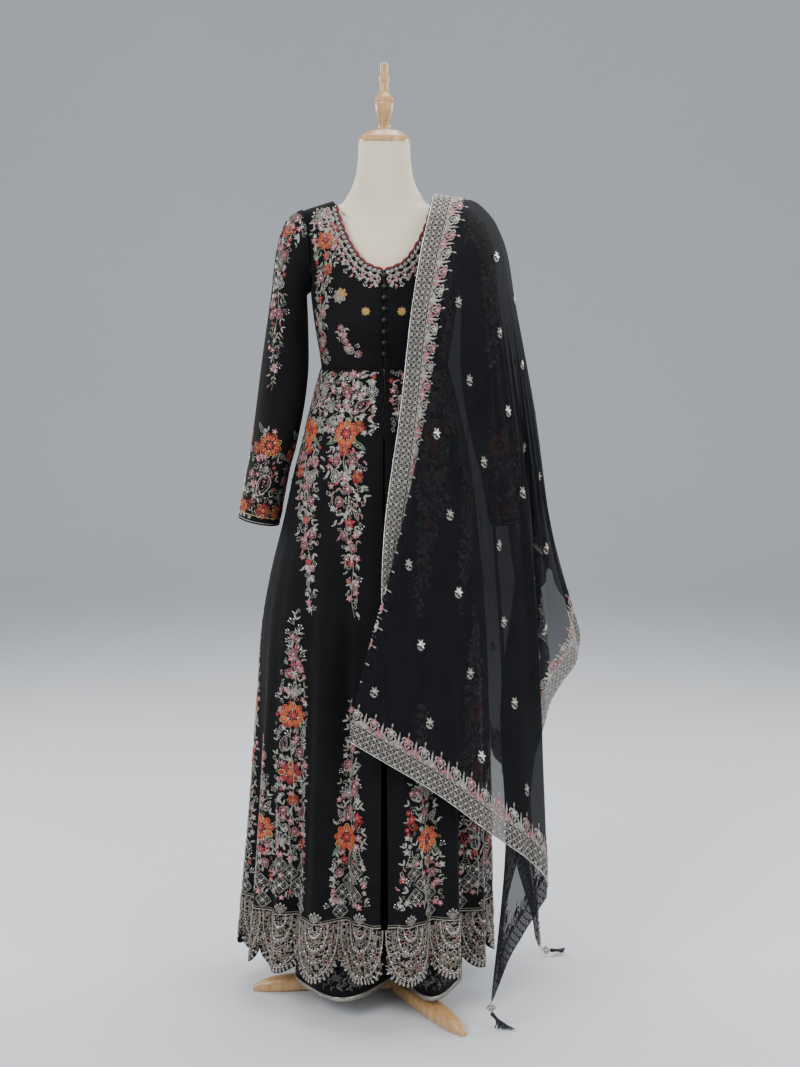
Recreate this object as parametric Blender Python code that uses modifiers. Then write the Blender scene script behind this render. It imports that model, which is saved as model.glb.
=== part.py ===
"""An embroidered palazzo suit on a dress form: a front-opening long gown, palazzo trousers and a dupatta.

Metres, +Z up, the front faces -Y. Everything is laid out about the form's upright pole, and at the end
the whole part is moved so that the origin is the middle of its footprint on the floor.
"""

import math
from collections import namedtuple

import bmesh
import bpy
import numpy as np
from mathutils import Matrix, Vector

# Cloth walls and the gaps between pieces.
GOWN_WALL = 0.0016
SLEEVE_WALL = 0.0014
PALAZZO_WALL = 0.0014
DUPATTA_WALL = 0.0010
TRIM_WALL = 0.0010
SEAM_GAP = 0.0005
LAY_GAP = 0.0004

# Heights of the suit above the floor.
WAIST_SEAM = 1.213
GOWN_HEM = 0.088
PALAZZO_HEM = 0.041
CROTCH = 0.740
NECK_DROP = 1.391
ARMHOLE_FOOT = 1.352
ARMHOLE_HEAD = 1.500
BODICE_EASE = 0.006
BODICE_LIFT = 0.009
BUST_HEIGHT = 1.290
BUST_SIDE = 0.060
BUST_RISE = 0.022
BUST_SPREAD = 0.052

# Corner rounding of every body section: 1 is an ellipse, less is squarer.
ROUND = 0.87

Ring = namedtuple("Ring", "height half_width front back")
FORM_RINGS = (
    Ring(0.800, 0.146, 0.094, 0.102),
    Ring(0.900, 0.158, 0.104, 0.114),
    Ring(1.000, 0.138, 0.096, 0.098),
    Ring(1.100, 0.108, 0.088, 0.082),
    Ring(1.213, 0.112, 0.094, 0.086),
    Ring(1.300, 0.126, 0.102, 0.092),
    Ring(1.380, 0.134, 0.092, 0.088),
    Ring(1.430, 0.146, 0.076, 0.078),
    Ring(1.455, 0.155, 0.064, 0.068),
    Ring(1.475, 0.155, 0.055, 0.060),
    Ring(1.490, 0.140, 0.048, 0.053),
    Ring(1.499, 0.112, 0.046, 0.050),
    Ring(1.507, 0.086, 0.045, 0.048),
    Ring(1.526, 0.067, 0.045, 0.047),
    Ring(1.545, 0.057, 0.046, 0.047),
    Ring(1.580, 0.049, 0.046, 0.046),
    Ring(1.618, 0.047, 0.046, 0.046),
)
NECK_TOP = 1.618

# The neckline from the centre front to the neck point: how far out it is at each height.
NeckStep = namedtuple("NeckStep", "across height")
FRONT_NECKLINE = (
    NeckStep(0.000, 1.388),
    NeckStep(0.034, 1.403),
    NeckStep(0.058, 1.434),
    NeckStep(0.075, 1.470),
    NeckStep(0.086, 1.506),
)
BACK_NECKLINE = (
    NeckStep(0.000, 1.462),
    NeckStep(0.040, 1.468),
    NeckStep(0.070, 1.484),
    NeckStep(0.086, 1.506),
)
SHOULDER_TIP_ACROSS = 0.150
NECK_SHARE = 0.45
SHOULDER_SHARE = 0.65
EDGING_WIDTH = 0.009
EDGING_STAND = 0.003
EDGING_SCALLOPS = 9

# The skirt's sections over the crests of its folds, with its reach to the wearer's right and left.
SkirtRing = namedtuple("SkirtRing", "height right left front back")
SKIRT_RINGS = (
    SkirtRing(0.080, 0.294, 0.222, 0.202, 0.215),
    SkirtRing(0.176, 0.284, 0.218, 0.198, 0.210),
    SkirtRing(0.379, 0.262, 0.210, 0.188, 0.197),
    SkirtRing(0.578, 0.244, 0.201, 0.177, 0.183),
    SkirtRing(0.773, 0.226, 0.190, 0.163, 0.165),
    SkirtRing(0.860, 0.208, 0.182, 0.154, 0.155),
    SkirtRing(0.920, 0.192, 0.175, 0.148, 0.148),
    SkirtRing(1.000, 0.174, 0.165, 0.139, 0.137),
    SkirtRing(1.080, 0.153, 0.150, 0.128, 0.122),
    SkirtRing(1.153, 0.134, 0.133, 0.117, 0.108),
    SkirtRing(1.213, 0.1176, 0.1176, 0.1012, 0.0920),
)

# The skirt's folds: where each valley lies round the hem, its half width and its depth at the hem.
Fold = namedtuple("Fold", "angle spread depth start")
SKIRT_FOLDS = (
    Fold(24, 7, 0.030, 0.85),
    Fold(47, 8, 0.034, 0.90),
    Fold(70, 8, 0.026, 0.70),
    Fold(94, 9, 0.034, 0.95),
    Fold(118, 8, 0.028, 0.75),
    Fold(142, 9, 0.032, 1.00),
    Fold(166, 8, 0.026, 0.80),
    Fold(191, 9, 0.034, 1.00),
    Fold(216, 8, 0.026, 0.75),
    Fold(241, 8, 0.032, 0.95),
    Fold(263, 7, 0.020, 0.60),
    Fold(286, 8, 0.028, 0.80),
    Fold(306, 6, 0.024, 0.55),
    Fold(322, 7, 0.036, 1.00),
    Fold(346, 6, 0.034, 1.10),
)
GORES = (
    "gore_front_left_centre",
    "gore_front_left_side",
    "gore_back_left_side",
    "gore_back_left_centre",
    "gore_back_right_centre",
    "gore_back_right_side",
    "gore_front_right_side",
    "gore_front_right_centre",
)
OPENING_AT_WAIST = 0.0012
OPENING_AT_HEM = 0.016
HEM_LOBES = 16
HEM_LOBE_RISE = 0.044

# A sleeve's rings: its outer and inner edges seen from the front, and its half depth.
SleeveRing = namedtuple("SleeveRing", "along outer_x outer_z inner_x inner_z depth")
SLEEVE_RINGS = (
    SleeveRing(0.00, 0.160, 1.497, 0.146, 1.350, 0.050),
    SleeveRing(0.05, 0.171, 1.490, 0.145, 1.346, 0.057),
    SleeveRing(0.12, 0.184, 1.471, 0.144, 1.340, 0.060),
    SleeveRing(0.22, 0.197, 1.428, 0.143, 1.318, 0.061),
    SleeveRing(0.36, 0.209, 1.340, 0.142, 1.270, 0.060),
    SleeveRing(0.52, 0.224, 1.235, 0.145, 1.195, 0.059),
    SleeveRing(0.68, 0.240, 1.130, 0.158, 1.105, 0.058),
    SleeveRing(0.84, 0.257, 1.030, 0.181, 1.010, 0.056),
    SleeveRing(1.00, 0.275, 0.934, 0.200, 0.918, 0.055),
)
SLEEVE_CREASE_DEPTH = 0.004

# The palazzo: each leg's section at the hem, and the pole passing down inside the right leg.
Leg = namedtuple("Leg", "side centre half_width front back")
LEGS = (
    Leg("right", -0.080, 0.098, 0.158, 0.145),
    Leg("left", 0.088, 0.063, 0.154, 0.140),
)
CROTCH_ACROSS = 0.0225
LEG_WAVES = 4
LEG_WAVE_DEPTH = 0.010
BRAID_HEIGHT = 0.009
PALAZZO_EASE = 0.007
PALAZZO_WAIST_EASE = 0.0042
LEG_HEIGHTS = (0.041, 0.130, 0.260, 0.420, 0.580, 0.680, 0.715, 0.745, 0.770, 0.795, 0.850, 0.900, 0.950,
               1.010, 1.085)

# The dupatta: half its length from the shoulder line to an end, its width, and the part that lies
# on the shoulder before it falls over the sleeve.
DUPATTA_HALF = 1.05
DUPATTA_WIDTH = 0.76
ON_SHOULDER = 0.12
BORDER_WIDTH = 0.056
BORDER_GAP = 0.0030
MITRE_LIMIT = 1.3

# How high a lane of the dupatta is at each length of cloth from the shoulder line.
Drop = namedtuple("Drop", "cloth height")
DROPS = (
    Drop(0.000, 1.520),
    Drop(0.035, 1.512),
    Drop(0.070, 1.488),
    Drop(0.120, 1.445),
    Drop(0.230, 1.337),
    Drop(0.415, 1.152),
    Drop(0.640, 0.927),
    Drop(0.970, 0.600),
    Drop(1.250, 0.320),
    Drop(1.480, 0.090),
)
RIDGE_RISE = 0.0076
DUPATTA_ROWS = 13

# Lanes run from the shoulder to the dupatta's edge. Lanes 0 to 1 fall side by side from the part on
# the shoulder, and 1 to 2 fan out round the shoulder tip. Each stretches by its slack, ends at its
# foot, and has xs and ys at the lengths of DROPS.
Lane = namedtuple("Lane", "lane slack foot xs ys")
CORNER = 1 + math.atan2(DUPATTA_WIDTH - ON_SHOULDER, DUPATTA_HALF) / (0.5 * math.pi)
FRONT_LANES = (
    Lane(0.00, 0.957, 0.090,
         (0.088, 0.087, 0.081, 0.070, 0.051, 0.030, 0.000, 0.000, 0.010, 0.020),
         (0.000, -0.030, -0.068, -0.100, -0.152, -0.150, -0.172, -0.182, -0.190, -0.200)),
    Lane(0.45, 0.975, 0.090,
         (0.116, 0.115, 0.110, 0.106, 0.094, 0.075, 0.040, -0.026, -0.040, -0.040),
         (0.000, -0.029, -0.064, -0.096, -0.142, -0.148, -0.172, -0.206, -0.225, -0.240)),
    Lane(1.00, 1.026, 0.090,
         (0.150, 0.150, 0.150, 0.149, 0.143, 0.131, 0.106, 0.060, 0.030, 0.020),
         (0.000, -0.026, -0.058, -0.086, -0.124, -0.140, -0.166, -0.208, -0.240, -0.250)),
    Lane(1.10, 1.100, 0.090,
         (0.150, 0.154, 0.160, 0.168, 0.174, 0.186, 0.192, 0.185, 0.160, 0.150),
         (0.000, -0.022, -0.052, -0.080, -0.105, -0.122, -0.145, -0.180, -0.205, -0.220)),
    Lane(1.22, 1.170, 0.090,
         (0.150, 0.158, 0.171, 0.187, 0.202, 0.228, 0.265, 0.287, 0.300, 0.305),
         (0.000, -0.018, -0.043, -0.067, -0.087, -0.097, -0.104, -0.130, -0.150, -0.160)),
    Lane(1.29, 1.194, 0.090,
         (0.150, 0.161, 0.177, 0.196, 0.212, 0.240, 0.262, 0.245, 0.268, 0.245),
         (0.000, -0.016, -0.036, -0.058, -0.077, -0.088, -0.090, -0.120, -0.146, -0.174)),
    Lane(CORNER, 1.212, 0.0520,
         (0.150, 0.163, 0.182, 0.202, 0.219, 0.246, 0.248, 0.212, 0.222, 0.1973),
         (0.000, -0.014, -0.031, -0.050, -0.068, -0.078, -0.078, -0.128, -0.142, -0.184)),
    Lane(1.42, 1.120, 0.090,
         (0.150, 0.165, 0.186, 0.207, 0.225, 0.251, 0.270, 0.262, 0.268, 0.250),
         (0.000, -0.012, -0.026, -0.043, -0.060, -0.070, -0.072, -0.096, -0.112, -0.120)),
    Lane(1.47, 1.050, 0.090,
         (0.150, 0.166, 0.189, 0.210, 0.229, 0.257, 0.286, 0.302, 0.300, 0.290),
         (0.000, -0.010, -0.022, -0.037, -0.052, -0.062, -0.062, -0.080, -0.090, -0.090)),
    Lane(1.54, 1.040, 0.090,
         (0.150, 0.168, 0.192, 0.213, 0.234, 0.267, 0.304, 0.394, 0.430, 0.440),
         (0.000, -0.007, -0.016, -0.028, -0.038, -0.038, -0.030, 0.016, 0.030, 0.030)),
    Lane(1.64, 1.020, 0.090,
         (0.150, 0.170, 0.195, 0.217, 0.238, 0.275, 0.306, 0.370, 0.430, 0.440),
         (0.000, -0.003, -0.008, -0.016, -0.022, -0.006, 0.012, 0.060, 0.100, 0.100)),
    Lane(1.74, 1.000, 0.090,
         (0.150, 0.171, 0.196, 0.218, 0.240, 0.268, 0.291, 0.330, 0.360, 0.370),
         (0.000, 0.000, 0.000, -0.003, -0.004, 0.016, 0.042, 0.085, 0.100, 0.100)),
    Lane(1.84, 1.000, 0.090,
         (0.150, 0.171, 0.195, 0.217, 0.240, 0.272, 0.312, 0.350, 0.400, 0.400),
         (0.000, 0.003, 0.008, 0.009, 0.014, 0.036, 0.062, 0.115, 0.120, 0.120)),
    Lane(2.00, 1.000, 0.090,
         (0.150, 0.170, 0.193, 0.214, 0.236, 0.260, 0.291, 0.318, 0.350, 0.350),
         (0.000, 0.008, 0.017, 0.026, 0.038, 0.052, 0.082, 0.125, 0.140, 0.140)),
)
BACK_LANES = (
    Lane(0.00, 0.980, 0.090,
         (0.088, 0.087, 0.081, 0.074, 0.066, 0.055, 0.036, 0.022, 0.018, 0.015),
         (0.000, 0.030, 0.064, 0.092, 0.124, 0.146, 0.180, 0.222, 0.250, 0.270)),
    Lane(0.45, 0.985, 0.090,
         (0.116, 0.114, 0.111, 0.108, 0.104, 0.098, 0.084, 0.076, 0.076, 0.076),
         (0.000, 0.028, 0.060, 0.088, 0.120, 0.146, 0.182, 0.225, 0.250, 0.270)),
    Lane(1.00, 0.990, 0.090,
         (0.150, 0.150, 0.150, 0.150, 0.147, 0.142, 0.128, 0.130, 0.132, 0.134),
         (0.000, 0.024, 0.053, 0.083, 0.112, 0.130, 0.164, 0.205, 0.230, 0.245)),
    Lane(1.07, 1.000, 0.090,
         (0.150, 0.151, 0.154, 0.158, 0.157, 0.158, 0.155, 0.175, 0.192, 0.195),
         (0.000, 0.024, 0.053, 0.082, 0.110, 0.138, 0.192, 0.250, 0.272, 0.285)),
    Lane(1.14, 1.040, 0.090,
         (0.150, 0.153, 0.158, 0.165, 0.167, 0.170, 0.172, 0.190, 0.212, 0.214),
         (0.000, 0.023, 0.053, 0.080, 0.106, 0.120, 0.158, 0.196, 0.206, 0.215)),
    Lane(1.22, 1.100, 0.090,
         (0.150, 0.154, 0.163, 0.174, 0.180, 0.194, 0.208, 0.236, 0.248, 0.250),
         (0.000, 0.022, 0.052, 0.077, 0.100, 0.130, 0.188, 0.246, 0.262, 0.265)),
    Lane(1.28, 1.150, 0.050,
         (0.150, 0.156, 0.167, 0.180, 0.188, 0.196, 0.216, 0.246, 0.256, 0.268),
         (0.000, 0.021, 0.050, 0.074, 0.096, 0.112, 0.150, 0.182, 0.168, 0.130)),
    Lane(CORNER, 1.204, 0.012,
         (0.150, 0.158, 0.170, 0.184, 0.194, 0.216, 0.254, 0.300, 0.300, 0.3190),
         (0.000, 0.020, 0.048, 0.071, 0.094, 0.124, 0.182, 0.222, 0.200, 0.1388)),
    Lane(1.42, 1.100, 0.090,
         (0.150, 0.159, 0.172, 0.187, 0.199, 0.214, 0.240, 0.282, 0.275, 0.275),
         (0.000, 0.020, 0.047, 0.068, 0.091, 0.104, 0.138, 0.166, 0.150, 0.150)),
    Lane(1.47, 1.040, 0.090,
         (0.150, 0.161, 0.176, 0.192, 0.206, 0.236, 0.282, 0.330, 0.335, 0.335),
         (0.000, 0.019, 0.044, 0.064, 0.087, 0.112, 0.164, 0.190, 0.190, 0.190)),
    Lane(1.54, 1.020, 0.090,
         (0.150, 0.163, 0.180, 0.197, 0.213, 0.234, 0.268, 0.318, 0.340, 0.345),
         (0.000, 0.018, 0.040, 0.059, 0.080, 0.094, 0.130, 0.142, 0.175, 0.180)),
    Lane(1.64, 1.010, 0.090,
         (0.150, 0.165, 0.184, 0.202, 0.221, 0.254, 0.306, 0.345, 0.420, 0.425),
         (0.000, 0.016, 0.036, 0.053, 0.072, 0.094, 0.138, 0.185, 0.180, 0.185)),
    Lane(1.74, 1.000, 0.090,
         (0.150, 0.167, 0.188, 0.207, 0.228, 0.250, 0.287, 0.312, 0.360, 0.365),
         (0.000, 0.014, 0.031, 0.046, 0.062, 0.076, 0.102, 0.150, 0.160, 0.165)),
    Lane(1.84, 1.000, 0.090,
         (0.150, 0.169, 0.191, 0.211, 0.234, 0.266, 0.313, 0.350, 0.410, 0.410),
         (0.000, 0.012, 0.026, 0.038, 0.052, 0.068, 0.104, 0.150, 0.150, 0.150)),
    Lane(2.00, 1.000, 0.090,
         (0.150, 0.170, 0.193, 0.214, 0.236, 0.260, 0.291, 0.318, 0.350, 0.350),
         (0.000, 0.008, 0.017, 0.026, 0.038, 0.052, 0.082, 0.125, 0.140, 0.140)),
)

# The stand.
POLE_RADIUS = 0.011
HUB_TOP = 0.034
HUB_RADIUS = 0.034
LEG_REACH = 0.260
LEG_ANGLES = (34.55, 154.55, 274.55)
StandRing = namedtuple("StandRing", "reach half_width low high")
LEG_RINGS = (
    StandRing(0.0345, 0.011, 0.006, 0.029),
    StandRing(0.070, 0.016, 0.005, 0.031),
    StandRing(0.120, 0.019, 0.004, 0.032),
    StandRing(0.170, 0.019, 0.002, 0.031),
    StandRing(0.205, 0.017, 0.000, 0.028),
    StandRing(0.240, 0.012, 0.000, 0.020),
    StandRing(0.260, 0.005, 0.000, 0.009),
)

# The turned finial: its radius at each height above the neck's top.
Turn = namedtuple("Turn", "radius height")
CAP_PROFILE = (
    Turn(0.0478, 0.0004),
    Turn(0.0482, 0.0050),
    Turn(0.0450, 0.0110),
    Turn(0.0350, 0.0190),
    Turn(0.0330, 0.0212),
    Turn(0.0140, 0.0216),
)
FINIAL_PROFILE = (
    Turn(0.0140, 0.0220),
    Turn(0.0112, 0.0260),
    Turn(0.0112, 0.0330),
    Turn(0.0120, 0.0355),
    Turn(0.0105, 0.0375),
    Turn(0.0118, 0.0400),
    Turn(0.0108, 0.0425),
    Turn(0.0120, 0.0455),
    Turn(0.0160, 0.0590),
    Turn(0.0172, 0.0700),
    Turn(0.0165, 0.0735),
    Turn(0.0176, 0.0755),
    Turn(0.0160, 0.0810),
    Turn(0.0090, 0.0910),
    Turn(0.0078, 0.1060),
    Turn(0.0095, 0.1120),
    Turn(0.0098, 0.1180),
    Turn(0.0075, 0.1240),
    Turn(0.0078, 0.1405),
    Turn(0.0060, 0.1421),
)

BUTTONS = 8
BUTTON_RADIUS = 0.0042
ORNAMENT_SIDE = 0.014
ORNAMENT_THICK = 0.003
TASSEL_RADIUS = 0.0040
TASSEL_HEAD = 0.006
TASSEL_SEGMENTS = 8

# Colours, roughness and metallic of the materials.
FINISHES = {
    "black_cloth": ((0.012, 0.012, 0.014, 1), 0.75, 0.0),
    "black_sheer": ((0.020, 0.021, 0.024, 1), 0.60, 0.0),
    "silver_border": ((0.52, 0.50, 0.44, 1), 0.45, 0.3),
    "neck_edging": ((0.45, 0.30, 0.30, 1), 0.60, 0.1),
    "silver_braid": ((0.50, 0.49, 0.46, 1), 0.45, 0.4),
    "form_cloth": ((0.72, 0.64, 0.56, 1), 0.85, 0.0),
    "wood": ((0.62, 0.36, 0.16, 1), 0.40, 0.0),
    "pole_metal": ((0.70, 0.70, 0.70, 1), 0.30, 1.0),
    "tassel_thread": ((0.010, 0.010, 0.012, 1), 0.70, 0.0),
}


def clear_scene():
    """Empties the scene and starts the part's own collection."""
    for old in list(bpy.data.objects):
        bpy.data.objects.remove(old)
    parts = bpy.data.collections.new("palazzo_suit")
    bpy.context.scene.collection.children.link(parts)
    return parts


def make_materials():
    """One Principled material for each finish."""
    made = {}
    for name, (colour, roughness, metallic) in FINISHES.items():
        material = bpy.data.materials.new(name)
        material.use_nodes = True
        shader = material.node_tree.nodes["Principled BSDF"]
        shader.inputs["Base Color"].default_value = colour
        shader.inputs["Roughness"].default_value = roughness
        shader.inputs["Metallic"].default_value = metallic
        made[name] = material
    return made


def column(table, name):
    """One named column of a table, as an array."""
    return np.array([getattr(row, name) for row in table], float)


def spline(x, knots, values):
    """A smooth curve through a table's rows, read at x. knots rise, and values may hold points."""
    knots = np.asarray(knots, float)
    values = np.asarray(values, float)
    slopes = np.gradient(values, knots, axis=0)
    x = np.clip(np.asarray(x, float), knots[0], knots[-1])
    low = np.clip(np.searchsorted(knots, x, side="right") - 1, 0, len(knots) - 2)
    step = knots[low + 1] - knots[low]
    t = (x - knots[low]) / step
    if values.ndim > 1:
        shape = t.shape + (1,) * (values.ndim - 1)
        t = t.reshape(shape)
        step = step.reshape(shape)
    start = (1 + 2 * t) * (1 - t) ** 2 * values[low] + t * (1 - t) ** 2 * step * slopes[low]
    end = t * t * (3 - 2 * t) * values[low + 1] - t * t * (1 - t) * step * slopes[low + 1]
    return start + end


def smooth_step(x):
    x = np.clip(x, 0.0, 1.0)
    return x * x * (3 - 2 * x)


def ring_sizes(table, height, names=("half_width", "front", "back")):
    """The sizes of a table of rings at a height."""
    heights = column(table, "height")
    return [spline(height, heights, column(table, name)) for name in names]


def round_section(angle, half_width, front, back):
    """A point of a rounded section. Angle 0 faces the front (-Y) and 90 degrees is at +X."""
    sine = np.sin(angle)
    cosine = np.cos(angle)
    x = half_width * np.sign(sine) * np.abs(sine) ** ROUND
    depth = np.where(cosine > 0, front, back)
    y = -depth * np.sign(cosine) * np.abs(cosine) ** ROUND
    return x, y


def section_depth(share):
    """How much of its full depth a section has at a share of its half width."""
    power = 2.0 / ROUND
    return (1.0 - np.clip(np.abs(share), 0.0, 1.0) ** power) ** (1.0 / power)


def bust_rise(x, height):
    """How far the two rounded sides of the bust stand out at a point of the front."""
    above = (height - BUST_HEIGHT) / BUST_SPREAD
    right = np.exp(-((x - BUST_SIDE) / BUST_SPREAD) ** 2 - above ** 2)
    left = np.exp(-((x + BUST_SIDE) / BUST_SPREAD) ** 2 - above ** 2)
    return BUST_RISE * (right + left)


def form_surface(u, v):
    """The dress form's skin: u goes round from the back, v from the bottom to the top of the neck."""
    height = np.interp(v, np.linspace(0, 1, len(FORM_RINGS)), column(FORM_RINGS, "height"))
    half_width, front, back = ring_sizes(FORM_RINGS, height)
    angle = 2 * math.pi * u
    x, y = round_section(angle, half_width, front, back)
    y = y - np.where(np.cos(angle) > 0, bust_rise(x, height), 0.0)
    return np.stack([x, y, height], axis=-1)


def bodice_point(x, height, face, lift=0.0):
    """A point on the bodice at a distance across and a height, or at a lift above it. face is -1 at the
    front and 1 at the back."""
    half_width, front, back = ring_sizes(FORM_RINGS, height - BODICE_LIFT - lift)
    ease = BODICE_EASE + lift
    share = x / (half_width + ease)
    if face < 0:
        y = -(front + ease) * section_depth(share) - bust_rise(x, height)
    else:
        y = (back + ease) * section_depth(share)
    return np.stack([x + 0 * y, y, height + 0 * y], axis=-1)


def bodice_half_width(height):
    return ring_sizes(FORM_RINGS, height - BODICE_LIFT)[0] + BODICE_EASE


def shoulder_height(across):
    """The height of the shoulder ridge at a distance across, on the bodice."""
    heights = np.linspace(1.480, 1.520, 41)
    widths = bodice_half_width(heights)
    return np.interp(across, widths[::-1], heights[::-1]) - 0.0006


def armhole_edge(turn):
    """The armhole from the shoulder tip (0) to the underarm (1): how far across, and how high."""
    height = ARMHOLE_FOOT + (ARMHOLE_HEAD - ARMHOLE_FOOT) * (0.5 + 0.5 * np.cos(math.pi * turn))
    tip = SHOULDER_TIP_ACROSS
    foot = bodice_half_width(np.array(ARMHOLE_FOOT))
    across = tip + (foot - tip) * turn - 0.010 * np.sin(math.pi * turn)
    top = shoulder_height(across)
    return across, np.minimum(height, top)


def bodice_top(u, neckline):
    """The upper edge of half a bodice from the centre to the side: neckline, shoulder, armhole."""
    steps = np.linspace(0, 1, len(neckline))
    along_neck = np.clip(u / NECK_SHARE, 0, 1)
    neck_x = spline(along_neck, steps, column(neckline, "across"))
    neck_z = np.minimum(spline(along_neck, steps, column(neckline, "height")), shoulder_height(neck_x))
    along_shoulder = np.clip((u - NECK_SHARE) / (SHOULDER_SHARE - NECK_SHARE), 0, 1)
    shoulder_x = neckline[-1].across + (SHOULDER_TIP_ACROSS - neckline[-1].across) * along_shoulder
    armhole_x, armhole_z = armhole_edge(np.clip((u - SHOULDER_SHARE) / (1 - SHOULDER_SHARE), 0, 1))
    x = np.where(u <= NECK_SHARE, neck_x, np.where(u <= SHOULDER_SHARE, shoulder_x, armhole_x))
    shoulder_z = shoulder_height(shoulder_x)
    z = np.where(u <= NECK_SHARE, neck_z, np.where(u <= SHOULDER_SHARE, shoulder_z, armhole_z))
    return x, z


def bodice_surface(side, face, neckline):
    """Half a bodice: u from the centre to the side seam, v from the waist seam to the upper edge."""

    def surface(u, v):
        top_x, top_z = bodice_top(u, neckline)
        waist = bodice_half_width(np.array(WAIST_SEAM))
        bottom_x = waist * np.sin(0.5 * math.pi * u) ** ROUND
        rise = 1 - (1 - v) ** 1.35
        height = WAIST_SEAM + 0.5 * SEAM_GAP + (top_z - WAIST_SEAM - 0.5 * SEAM_GAP) * rise
        x = bottom_x + (top_x - bottom_x) * rise
        x = np.minimum(x, bodice_half_width(height) * np.where(u > 0.995, 1.0, 0.9995))
        x = np.maximum(x, SEAM_GAP / 2)
        points = bodice_point(x, height, face)
        points[..., 0] *= side
        points[..., 1] += face * SEAM_GAP / 2
        return points

    return surface


def edging_surface(side):
    """The neckline's scalloped edging: u from the centre front to the neck point, v across it."""

    def surface(u, v):
        x, z = bodice_top(np.clip(u, 0.01, 0.985) * NECK_SHARE, FRONT_NECKLINE)
        ahead_x, ahead_z = bodice_top(np.clip(u, 0.01, 0.985) * NECK_SHARE + 0.004, FRONT_NECKLINE)
        along = np.stack([ahead_x - x, ahead_z - z], axis=-1)
        along = along / np.linalg.norm(along, axis=-1, keepdims=True)
        scallop = EDGING_STAND * np.abs(np.sin(math.pi * EDGING_SCALLOPS * u)) ** 0.7
        reach = scallop - (EDGING_WIDTH + scallop) * (1 - v)
        x = np.maximum(x - along[..., 1] * reach, SEAM_GAP)
        z = z + along[..., 0] * reach
        points = bodice_point(x, z, -1, LAY_GAP + TRIM_WALL)
        points[..., 0] *= side
        points[..., 1] -= SEAM_GAP / 2
        return points

    return surface


def skirt_fold_depth(angle, height):
    """How deep the skirt's folds lie at an angle and a height."""
    degrees = np.degrees(angle) % 360.0
    depth = np.zeros_like(degrees + height)
    for fold in SKIRT_FOLDS:
        away = (degrees - fold.angle + 180.0) % 360.0 - 180.0
        growth = smooth_step((fold.start - height) / (fold.start - GOWN_HEM)) ** 0.8
        depth = depth + fold.depth * growth * np.exp(-(away / fold.spread) ** 2)
    return depth


def skirt_point(angle, height):
    """A point on the gown's skirt at an angle round the form and a height."""
    right, left, front, back = ring_sizes(SKIRT_RINGS, height, ("right", "left", "front", "back"))
    depth = skirt_fold_depth(angle, height)
    half_width = np.where(np.sin(angle) < 0, right, left)
    x, y = round_section(angle, half_width - depth, front - depth, back - depth)
    return np.stack([x, y, height + 0 * x], axis=-1)


def cloth_share_table():
    """How the angle round the skirt goes with the share of its cloth, measured along the hem."""
    angles = np.linspace(0, 2 * math.pi, 2881)
    points = skirt_point(angles, np.full_like(angles, GOWN_HEM + 0.03))
    steps = np.linalg.norm(np.diff(points, axis=0), axis=1)
    length = np.concatenate([[0.0], np.cumsum(steps)])
    return angles, length / length[-1], length[-1]


def skirt_angle(share):
    """The angle round the skirt at a share of its cloth from the front opening."""
    angles, shares, _ = SKIRT_CLOTH
    return np.interp(share, shares, angles)


def hem_height(share):
    """The scalloped hem: round lobes that meet in raised notches."""
    lobe = (HEM_LOBES * np.asarray(share)) % 1.0
    across = 0.985 * np.abs(2 * lobe - 1)
    return GOWN_HEM + HEM_LOBE_RISE * (1 - np.sqrt(1 - across ** 2))


def opening_width(height):
    """The width of the gown's front opening, which widens towards the hem."""
    share = (WAIST_SEAM - height) / (WAIST_SEAM - GOWN_HEM)
    return OPENING_AT_WAIST + (OPENING_AT_HEM - OPENING_AT_WAIST) * share ** 1.5


def gore_surface(number):
    """One gore of the skirt: u across it, v from the hem to the waist seam."""
    each = 1.0 / len(GORES)
    last = len(GORES) - 1

    def surface(u, v):
        low = hem_height(np.clip(each * (number + u), 1e-4, 1 - 1e-4))
        top = WAIST_SEAM - 0.5 * SEAM_GAP
        height = low + (top - low) * v ** 1.05
        girth = SKIRT_CLOTH[2] * (0.36 + 0.64 * (WAIST_SEAM - height) / (WAIST_SEAM - GOWN_HEM))
        start = (0.5 * opening_width(height) if number == 0 else 0.5 * SEAM_GAP) / girth
        end = (0.5 * opening_width(height) if number == last else 0.5 * SEAM_GAP) / girth
        share = each * number + start + (each - start - end) * u
        return skirt_point(skirt_angle(share), height)

    return surface


def armhole_loop(turn, side):
    """The seam round the shoulder, turn 0 at the tip, 0.25 in front, 0.5 under the arm, 0.75 behind."""
    half = np.abs(((turn + 0.5) % 1.0) - 0.5) * 2
    across, height = armhole_edge(half)
    front = bodice_point(across, height, -1)
    back = bodice_point(across, height, 1)
    before = (turn % 1.0) < 0.5
    points = np.where(before[..., None], front, back)
    points[..., 0] = points[..., 0] * side
    return points


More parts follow.
